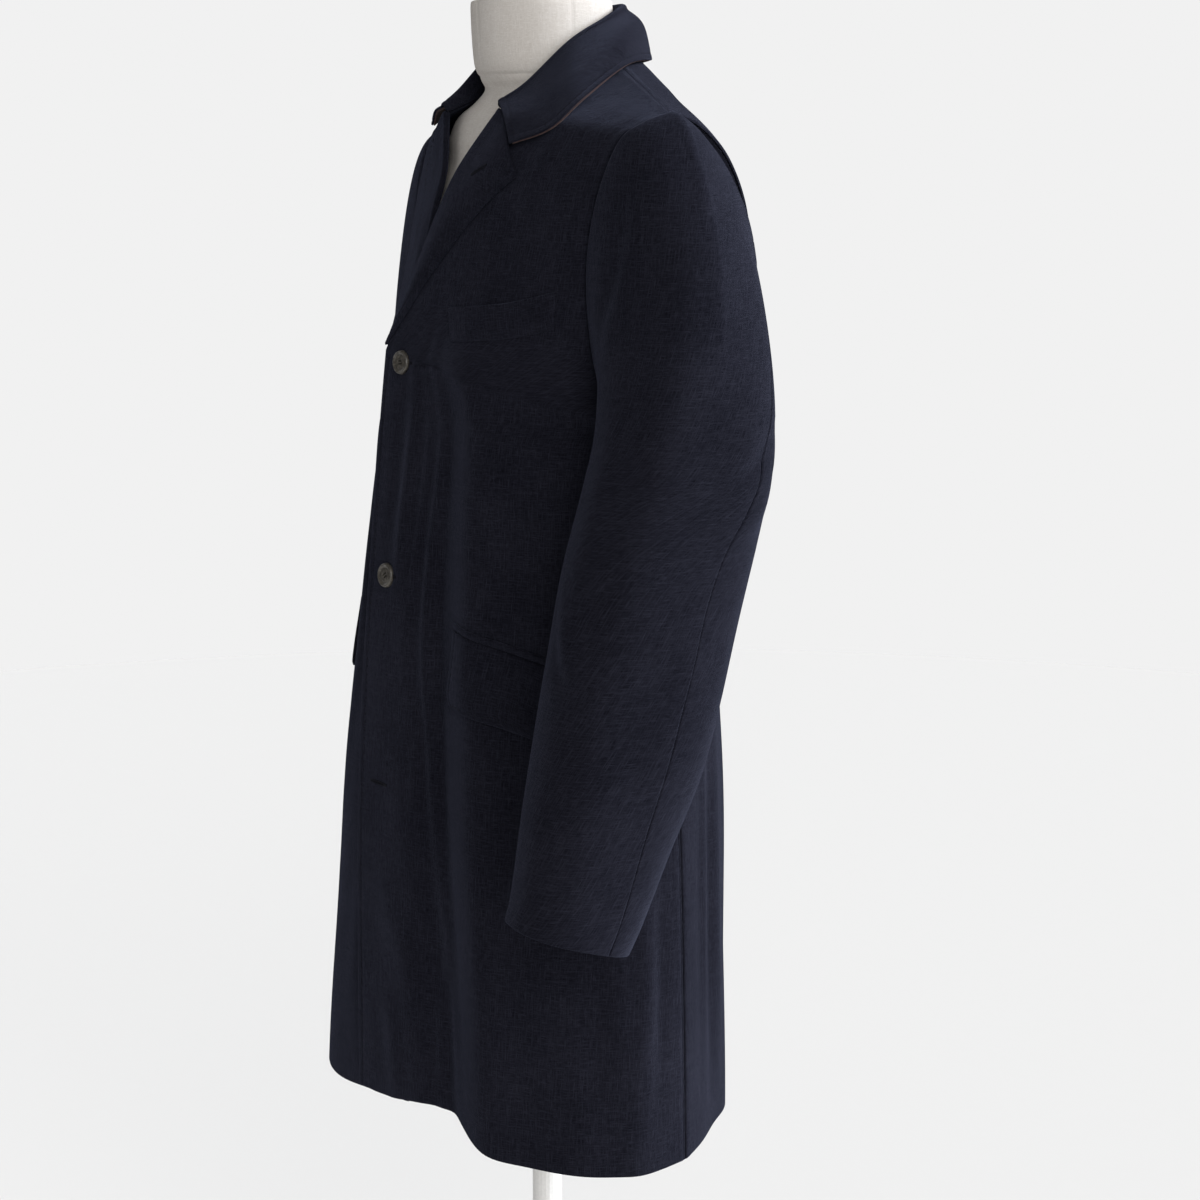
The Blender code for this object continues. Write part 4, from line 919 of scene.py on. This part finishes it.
def make_panels():
    for side in ("left", "right"):
        for kind, other in (("front", "back"), ("back", "front")):
            make_panel(f"{kind}_{side}", SHEETS[f"{other}_{side}"])


def make_panel(name, joining):
    sheet, back = SHEETS[name], name.startswith("back")
    columns, rows, span = BACK_GRID if back else FRONT_GRID
    across, station = np.meshgrid(lines(0, 1, columns, span, not back, back),
                                  lines(0, SHOULDER, rows, 810, True, False))
    if back:
        across = across * pleat_edge(station)
    outer, normal = sheet.point(across, station), sheet.normal(across, station)
    seam = ((across > 0.9999) & (station <= UNDERARM)) | (station == SHOULDER)
    normal[seam] = unit(normal[seam] + joining.normal(across[seam], station[seam]))
    with_pieces = []
    if back:
        normal[station[:, 0] <= GORGE, 0, 0] = 0
        normal[:, 0] = unit(normal[:, 0])
    else:
        below = station[:, 0] <= BREAK
        path, out = inset_path(outer, normal, "column_low")
        with_pieces = [make_jet(name, sheet), stitches(f"{name}_stitches", path[below], out[below])]
    cloth(name, outer, normal, COAT_CLOTH, edges=SIDES[1:] if back else SIDES,
          stitched=() if back else ["column_low"], sewn=False, with_pieces=with_pieces,
          seams=["column_high", "row_high"] + ["column_low"] * back,
          weave=(np.abs(outer[:, :1, 0]) + around(outer, 0), outer[..., 2]))


def make_pleats():
    for side in ("left", "right"):
        sheet = SHEETS[f"back_{side}"]
        across, station = np.meshgrid(np.linspace(1 - PLEAT_DEPTH, 1, 32),
                                      np.linspace(PLEAT_LOW, PLEAT_HIGH, 90))
        # Past the back's fold the underlay lies deeper, down to the sunk head of the sleeve.
        tuck = PLEAT_TUCK * np.clip((across - PLEAT_END) / (1 - PLEAT_END), 0, 1)
        cloth(f"pleat_{side}", sheet.above(across, station, -COAT_CLOTH - LAY_GAP - tuck),
              sheet.normal(across, station), TRIM_CLOTH, edges=())


def lapel_wrap(sheet):
    """The lapel: from the inside, round the front's edge, to where it lies outside."""
    along = np.linspace(0, 1, 110)
    start = LAPEL_START + (GORGE - LAPEL_START) * along
    behind, deep = np.array(LAPEL_INSIDE).T
    off, station = np.meshgrid(-behind / LAPEL_ROW, start)
    wrap = sheet.above(off, station, np.broadcast_to(deep, off.shape))
    zero = np.zeros(start.shape)
    edge, out = sheet.point(zero, start), sheet.normal(zero, start)
    away = unit(edge - sheet.point(zero + 0.02, start))
    roll = np.array(LAPEL_TURN)
    rolled = edge[:, None] + away[:, None] * roll[None, :, :1] + out[:, None] * roll[None, :, 1:]
    part, along = np.meshgrid(lines(0, 1, 34, 90, False, True)[1:], along)
    across, station = lapel_places(sheet, part, along)
    lying = sheet.above(across, station, lapel_height(part, along))
    return np.concatenate([wrap, rolled, lying], 1)


def make_lapels():
    for side in ("left", "right"):
        sheet = SHEETS[f"front_{side}"]
        outer = lapel_wrap(sheet)
        normal = unit(np.cross(np.gradient(outer, axis=1), np.gradient(outer, axis=0)))
        along = np.linspace(0, 1, len(outer))
        like = sheet.normal(*lapel_places(sheet, np.full(along.shape, 0.9), along))
        middle = len(outer) // 2
        normal = normal * np.sign(normal[middle, -8] @ like[middle])
        cloth(f"lapel_{side}", outer, normal, 1.6, stitched=["column_high", "row_high"], skip=6,
              wrapped=16, uv_turn=0.35)


def make_collar():
    sheet, (near, far) = SHEETS["collar"], (0.02, 5.98)
    over = np.concatenate([np.linspace(0, 5.2, 44), lines(5.2, 6, 12, 26, False, True)[1:]])
    over, count = np.meshgrid(over, lines(-COLLAR_SPAN, COLLAR_SPAN, 220, 470))
    normal = sheet.normal(np.clip(over, near, far), count)
    outer = sheet.point(over, count) + normal * (FACING_CLOTH + COLLAR_LIFT)
    sides = ["column_high", "row_low", "row_high"]
    cloth("collar", outer, normal, FACING_CLOTH, edges=sides, stitched=sides, wrapped=34,
          uv_turn=0.6)
    over, count = np.meshgrid(lines(3.9, 6.008, 20, 46, False, True),
                              np.linspace(-COLLAR_SPAN + 0.05, COLLAR_SPAN - 0.05, 200))
    normal = sheet.normal(np.clip(over, near, far), count)
    last, back = np.minimum(over, 6), 0.05
    outer = sheet.point(last, count) + normal * (COLLAR_LIFT - 0.25)
    step = (sheet.point(last, count) - sheet.point(last - back, count)) / back
    cloth("undercollar", outer + step * np.maximum(over - 6, 0)[..., None], normal, TRIM_CLOTH,
          "under", edges=["column_high"])


def patch_places(sheet, patch, part, up):
    ends = [np.array(sheet.find(sheet.outward * x, z, (0.5, 4.0))) for x, z in patch]
    front_top, front_low, side_top, side_low = ends
    part, up = part[..., None], up[..., None]
    place = ((1 - up) * ((1 - part) * front_low + part * side_low)
             + up * ((1 - part) * front_top + part * side_top))
    return place[..., 0], place[..., 1]


def laid(name, sheet, patch, size, height, thickness, stitched=(), corner=0.0, flare=0.0):
    """A piece that lies on a front between the four corners of its patch."""
    part, up = np.meshgrid(lines(0, 1, 60, size[0]), lines(0, 1, 22, size[1]))
    if corner:
        low = np.clip(1 - up * size[1] / corner, 0, 1)
        shift = corner * (1 - np.sqrt(1 - low**2)) / size[0]
        part = shift + part * (1 - 2 * shift)
    across, station = patch_places(sheet, patch, part, up)
    wide, tall = (np.sin(np.clip(share, 0, 1) * math.pi) for share in (part, up))
    swell = 0.5 * wide**0.3 * tall**0.5
    outer = sheet.above(across, station, height + flare * (1 - up)**1.5 + swell)
    return cloth(name, outer, sheet.normal(across, station), thickness, stitched=stitched)


def make_pockets():
    laid("chest_welt", SHEETS["front_left"], CHEST_WELT, (104, 28), 1.5, 1.4)
    for side, flap, flare in (("left", FLAP, 2.4), ("right", RIGHT_FLAP, 0.4)):
        laid(f"flap_{side}", SHEETS[f"front_{side}"], flap, (150, 57), 2.0, 1.5,
             ["column_low", "row_low", "column_high"], 12, flare)


def make_belt():
    part, up = np.meshgrid(lines(-1, 1, 130, 290), lines(0, 1, 22, 42))
    place = np.abs(part) * BELT_END, BELT_LOW + (BELT_HIGH - BELT_LOW) * up
    left, right = SHEETS["back_left"], SHEETS["back_right"]
    on_left = (part > 0)[..., None]
    blend = np.clip(np.abs(part) / 0.06, 0, 1)[..., None]
    normal = np.where(on_left, left.normal(*place), right.normal(*place))
    normal = unit(normal * blend + np.array([0, 1.0, 0]) * (1 - blend))
    base = np.where(on_left, left.point(*place), right.point(*place))
    puff = 3.2 + 0.5 * np.sin(np.clip(up, 0, 1) * math.pi)
    cloth("martingale", base + normal * puff[..., None], normal, 2.4,
          stitched=["row_low", "row_high", "column_low", "column_high"])


def make_sleeves():
    level = np.concatenate([np.linspace(0, 1, 54)**1.25,
                            lines(1, len(LEFT_SLEEVE), 100, 330, False, True)[1:]])
    elbow = spline([[row] for row in ELBOW_SEAM],
                   level / level[-1] * (len(ELBOW_SEAM) - 1))[..., 0]
    front = np.full(level.shape, FRONT_SEAM)
    for side in ("left", "right"):
        sheet = SHEETS[f"sleeve_{side}"]
        for part, low, high, (columns, wide) in (
                ("topsleeve", elbow - ROUND, front, TOPSLEEVE_GRID),
                ("undersleeve", front, elbow, UNDERSLEEVE_GRID)):
            across = lines(0, 1, columns, wide)
            count = low[:, None] + (high - low)[:, None] * across[None, :]
            levels = np.repeat(level[:, None], len(across), 1)
            outer = sheet.point(count, levels)
            ref = int(np.argmin(np.abs(count[len(level) // 2]))) if part == "topsleeve" else -1
            cloth(f"{part}_{side}", outer,
                  sheet.normal(count, np.clip(levels, 0.01, level[-1] - 0.01)), COAT_CLOTH,
                  seams=["column_low", "column_high", "row_low"],
                  weave=(outer[:, ref, 1][:, None] + around(outer, ref), outer[..., 2]))


def frame_on(sheet, place, lift):
    """A point above a sheet with directions to the side, up and out."""
    across, station = np.array(place[0]), np.array(place[1])
    normal = sheet.normal(across, station)
    side = unit(np.cross([0, 0, 1.0], normal))
    return sheet.above(across, station, np.array(float(lift))), side, np.cross(normal, side), normal


def make_button(name, sheet, place, lift, turn=0.4):
    """A turned horn button with a rim, a dished middle and four holes sewn with thread."""
    centre, side, up, out = frame_on(sheet, place, lift)
    radii = np.concatenate([np.linspace(0.02, 0.5, 26), np.linspace(0.53, 1, 22)])
    angle = np.linspace(0, 2 * math.pi, 72, endpoint=False)
    radius, turned_by = np.meshgrid(radii, angle, indexing="ij")
    x, y = radius * np.cos(turned_by), radius * np.sin(turned_by)
    height = (2.1 + 0.75 * np.exp(-((radius - 0.84) / 0.11)**2)
              - 0.35 * np.exp(-((radius - 0.62) / 0.09)**2))
    height = height * np.sqrt(np.clip(1 - np.clip((radius - 0.9) / 0.1, 0, 1)**2, 0, 1))
    turns = [turn + k * math.pi / 2 for k in range(4)]
    for hole in turns:
        off = np.hypot(x - HOLE_PLACE * math.cos(hole), y - HOLE_PLACE * math.sin(hole))
        height = height - 1.5 / (1 + np.exp((off - 0.085) / 0.012))
    wide, tall = side * (x * BUTTON_RADIUS)[..., None], up * (y * BUTTON_RADIUS)[..., None]
    face = centre + wide + tall + out * height[..., None]
    points, faces = closed_rings(np.concatenate([face, (centre + wide * 0.96 + tall * 0.96)[::-1]]))
    place_mesh(name, points, faces, "horn", [name])
    holes = [centre + (side * math.cos(hole) + up * math.sin(hole)) * HOLE_PLACE * BUTTON_RADIUS
             + out * 1.9 for hole in turns]
    middles = np.array([(holes[0] + holes[1]) / 2, (holes[2] + holes[3]) / 2])
    spindles(f"{name}_thread", middles, np.array([unit(holes[1] - holes[0])] * 2),
             np.array([out] * 2), 4.6, 0.5, "cord")


def make_buttons():
    for number, height in enumerate(BUTTONS, 1):
        place = SHEETS["front_left"].find(0, height, (0.15, 5.0))
        make_button(f"button_{number}", SHEETS["front_left"], place, 0.5, 0.4 + 0.5 * number)
    place = SHEETS["front_right"].find(0, THIRD_BUTTON, (0.15, 2.5))
    make_button("button_3", SHEETS["front_right"], place, 0.3)
    for number, (side, x) in enumerate((("left", BELT_BUTTON_X), ("right", -BELT_BUTTON_X)), 1):
        sheet = SHEETS[f"back_{side}"]
        place = sheet.find(x, 1070, (0.4, 4.0))[0], (BELT_LOW + BELT_HIGH) / 2
        make_button(f"martingale_button_{number}", sheet, place, 3.7, 0.8 * number)


def make_buttonhole(name, place, length, tilt=0.0, height=0.0):
    """A worked buttonhole: a slot painted near-black as the shade in its slit, with a bead of
    stitches all round it.
    """
    centre, side, up, out = frame_on(SHEETS["front_left"], place, height)
    side, up = (side * math.cos(tilt) + up * math.sin(tilt),
                up * math.cos(tilt) - side * math.sin(tilt))
    turn = np.linspace(0, 2 * math.pi, 90, endpoint=False)
    half = length / 2
    x = np.clip(np.cos(turn) * (half + 1.0), -half, half) + 0.9 * np.cos(turn)
    points = centre + side * x[:, None] + up * (0.95 * np.sin(turn))[:, None] + out * 0.15
    rays = unit(side * np.cos(turn)[:, None] * 0.4 + up * np.sin(turn)[:, None])
    spindles(f"{name}_bead", points, rays, np.array([out] * len(turn)), 1.7, 0.36, "thread")
    # The slot: a thin box laid on the cloth, near-black as painted shade of the slit.
    slot = [centre + side * a * half + up * b * 0.55 + out * c
            for c in (0.12, -0.6) for a, b in ((-1, -1), (1, -1), (1, 1), (-1, 1))]
    faces = [[0, 1, 2, 3], [7, 6, 5, 4]] + [[k, k + 4, (k + 1) % 4 + 4, (k + 1) % 4]
                                            for k in range(4)]
    place_mesh(f"{name}_slot", slot, faces, "dark")


def make_buttonholes():
    left = SHEETS["front_left"]
    for number, height in enumerate([*BUTTONS, THIRD_BUTTON], 1):
        shift, guess, length = (5, 5.0, 15) if number < 3 else (1, 2.4, 20)
        place = left.find(shift, height, (0.15, guess))
        make_buttonhole(f"buttonhole_{number}", place, length)
    part, along = np.array(0.52), np.array(0.86)
    across, station = lapel_places(left, part, along)
    make_buttonhole("lapel_buttonhole", (float(across), float(station)), 15, 0.5,
                    float(lapel_height(part, along)))


def make_zips():
    """The two halves of a zip inside the front edges, for a liner: tape and teeth."""
    for side in ("left", "right"):
        sheet = SHEETS[f"front_{side}"]
        share, station = np.meshgrid(np.linspace(0, 1, 8),
                                     np.linspace(TAPE_LOW, ZIP_TOP[side], 150))
        peep = np.clip((station - ZIP_PEEP[0]) / (ZIP_PEEP[1] - ZIP_PEEP[0]), 0, 1)
        peep = peep**2 * (3 - 2 * peep) * (side == "left")
        across = (TAPE_OUTSIDE + (TAPE_INSIDE - TAPE_OUTSIDE) * share
                  - (TAPE_OUTSIDE + ZIP_BEYOND) * peep)
        outer = sheet.above(across, station, np.full(across.shape, -COAT_CLOTH - TAPE_GAP))
        normal = sheet.normal(across, station)
        cloth(f"zip_tape_{side}", outer, normal, 0.8, "tape", edges=())
        along = distances(outer[:, 0])
        at = np.arange(1, along[-1], TOOTH_PITCH)
        points, out = (read_path(at, along, grid[:, 0]) for grid in (outer, normal))
        ahead = unit(read_path(at + 1, along, outer[:, 0]) - points)
        away = np.cross(ahead, out)
        inward = points - read_path(at, along, outer[:, 4])
        away *= np.sign((away * inward).sum(-1, keepdims=True))
        spindles(f"zip_teeth_{side}", points + away * 0.6 - out * 0.4, away, ahead, 3.4, 0.62,
                 "teeth")


def make_form():
    """The linen body: smooth rings, a seam round the foot of the neck and one down each side."""
    angle = np.linspace(0, 2 * math.pi, 180, endpoint=False)
    rows = spline(FORM, np.linspace(0, len(FORM) - 1, 260))
    z, half_wide, front, back, middle = rows.T[..., None]
    wide, deep = oval(angle, OVAL_SQUARE)
    rings = np.stack([half_wide * wide, middle + np.where(deep < 0, front, back) * deep,
                      z + 0 * wide], -1)
    away = (rings - rings.mean(1, keepdims=True)) * np.array([1, 1, 0])
    length = np.linalg.norm(away, axis=-1)
    seam = 0.7 * np.exp(-((rings[..., 2] - NECK_SEAM) / 1.2)**2)
    for at in (0, math.pi, math.pi / 2, 3 * math.pi / 2):
        off = np.abs(np.angle(np.exp(1j * (angle - at)))) * length
        seam = np.maximum(seam, 0.5 * np.exp(-off**2))
    rings = rings - unit(away) * seam[..., None]

    def lid(ring, rise):
        centre = ring.mean(0)
        return np.array([centre + (ring - centre) * s + np.array([0, 0, rise * (1 - s**2)])
                         for s in (0.97, 0.9, 0.6, 0.3, 0.05)])
    rings = np.concatenate([lid(rings[0], -1.0)[::-1], rings, lid(rings[-1], 1.2)])
    points, faces = closed_rings(rings)
    around_it = np.repeat((angle * FORM_RADIUS)[None, :], len(rings), 0)
    uv = np.stack([around_it, rings[..., 2]], -1).reshape(-1, 2)
    place_mesh("form_body", points, faces, "linen", ["form_torso"],
               np.concatenate([uv, [[0, 0], [0, 1500]]]))


# ---------------------------------------------------------------- camera, floor and light
CAMERA_PLACE = (1.6767, -0.7818, 1.385)
CAMERA_AZIMUTH, CAMERA_PITCH = 65.0 - 1.46, 11.086
FOCAL_PIXELS, FRAME_PIXELS, SENSOR = 2222.8, 1200, 36.0
# Large soft lamps far away: name, direction they stand in, spread in degrees, strength, colour.
LIGHTS = [
    ("key", (0.38, 0.80, 0.46), 26, 5.3, (0.90, 0.94, 1.0)),
    ("side_fill", (0.94, -0.20, 0.28), 40, 1.7, (1.0, 0.99, 0.98)),
    ("far_fill", (-0.93, -0.10, 0.30), 50, 0.6, (1.0, 1.0, 1.0)),
]
BACKDROP = 0.879            # the brightness of the backdrop and of the unshaded floor
AMBIENT_LOW, AMBIENT_HIGH = 0.08, 0.38      # the room's own light, from its dark to its bright side
BRIGHT_SIDE = (0.45, 0.78, 0.435)
FLOOR_RADIUS = 4.5


def placed(name, data, place, look):
    """An object that stands at a place and looks in a direction."""
    holder = bpy.data.objects.new(name, data)
    holder.location = place
    holder.rotation_euler = look.to_track_quat("-Z", "Y").to_euler()
    bpy.context.scene.collection.objects.link(holder)
    return holder


def make_camera():
    camera = bpy.data.cameras.new("camera")
    camera.sensor_width, camera.lens = SENSOR, FOCAL_PIXELS / FRAME_PIXELS * SENSOR
    camera.clip_end = 200
    heading, pitch = math.radians(CAMERA_AZIMUTH), math.radians(CAMERA_PITCH)
    look = Vector((-math.sin(heading) * math.cos(pitch), math.cos(heading) * math.cos(pitch),
                   -math.sin(pitch)))
    bpy.context.scene.camera = placed("camera", camera, CAMERA_PLACE, look)


def make_stage():
    world = bpy.data.worlds.new("studio")
    world.use_nodes = True
    tree = world.node_tree
    background = tree.nodes["Background"]
    place = linked(tree, "ShaderNodeTexCoord").outputs["Generated"]
    toward = linked(tree, "ShaderNodeVectorMath", set_operation="DOT_PRODUCT", in0=place,
                    in1=BRIGHT_SIDE).outputs["Value"]
    room = linked(tree, "ShaderNodeMapRange", in0=toward, in1=-1.0, in2=1.0, in3=AMBIENT_LOW,
                  in4=AMBIENT_HIGH).outputs["Result"]
    seen = tree.nodes.new("ShaderNodeLightPath").outputs["Is Camera Ray"]
    strength = linked(tree, "ShaderNodeMapRange", in0=seen, in3=room, in4=BACKDROP)
    tree.links.new(strength.outputs["Result"], background.inputs["Strength"])
    background.inputs["Color"].default_value = (1, 1, 1, 1)
    bpy.context.scene.world = world
    # What an open level floor gets from the room, cosine-weighted, and then from each light.
    reach = np.full(3, (AMBIENT_LOW + AMBIENT_HIGH) / 2
                    + (AMBIENT_HIGH - AMBIENT_LOW) / 3 * BRIGHT_SIDE[2])
    for name, direction, spread, strength, colour in LIGHTS:
        lamp = bpy.data.lights.new(name, "SUN")
        lamp.angle, lamp.energy, lamp.color = math.radians(spread), strength, colour
        toward = Vector(direction).normalized()
        placed(name, lamp, toward * 4, -toward)
        reach += np.array(colour) * strength * toward.z / math.pi
    made, tree, shader = finish("floor_paper", 1.0, Specular_IOR_Level=0.0)
    place = linked(tree, "ShaderNodeTexCoord").outputs["Object"]
    grain = linked(tree, "ShaderNodeTexNoise", Vector=place, Scale=30.0, Detail=3.0).outputs["Fac"]
    paper = np.minimum(BACKDROP / reach, 0.97)
    tree.links.new(ramp(tree, grain, [(0.3, paper * 0.998), (0.7, paper)]),
                   shader.inputs["Base Color"])
    turn = np.linspace(0, 2 * math.pi, 96, endpoint=False)
    mesh = bpy.data.meshes.new("floor")
    mesh.from_pydata([(FLOOR_RADIUS * math.cos(t), FLOOR_RADIUS * math.sin(t), 0) for t in turn],
                     [], [list(range(len(turn)))])
    mesh.materials.append(made)
    floor = bpy.data.objects.new("floor", mesh)
    bpy.context.scene.collection.objects.link(floor)
    bpy.context.scene.view_settings.view_transform = "Standard"


# ---------------------------------------------------------------- the whole
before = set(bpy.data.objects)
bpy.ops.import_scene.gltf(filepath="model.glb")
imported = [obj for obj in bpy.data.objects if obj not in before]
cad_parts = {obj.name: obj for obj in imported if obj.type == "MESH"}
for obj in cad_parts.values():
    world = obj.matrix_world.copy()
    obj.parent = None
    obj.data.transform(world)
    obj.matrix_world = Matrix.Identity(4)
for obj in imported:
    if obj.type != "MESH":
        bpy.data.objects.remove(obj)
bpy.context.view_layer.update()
make_camera()
make_stage()
MATERIALS = make_finishes()
for make in (make_panels, make_pleats, make_sleeves, make_lapels, make_collar, make_pockets,
             make_belt, make_buttons, make_buttonholes, make_zips, make_form):
    make()
for node in ("pole", "base"):
    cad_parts[node].data.materials.clear()
    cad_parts[node].data.materials.append(MATERIALS["paint"])
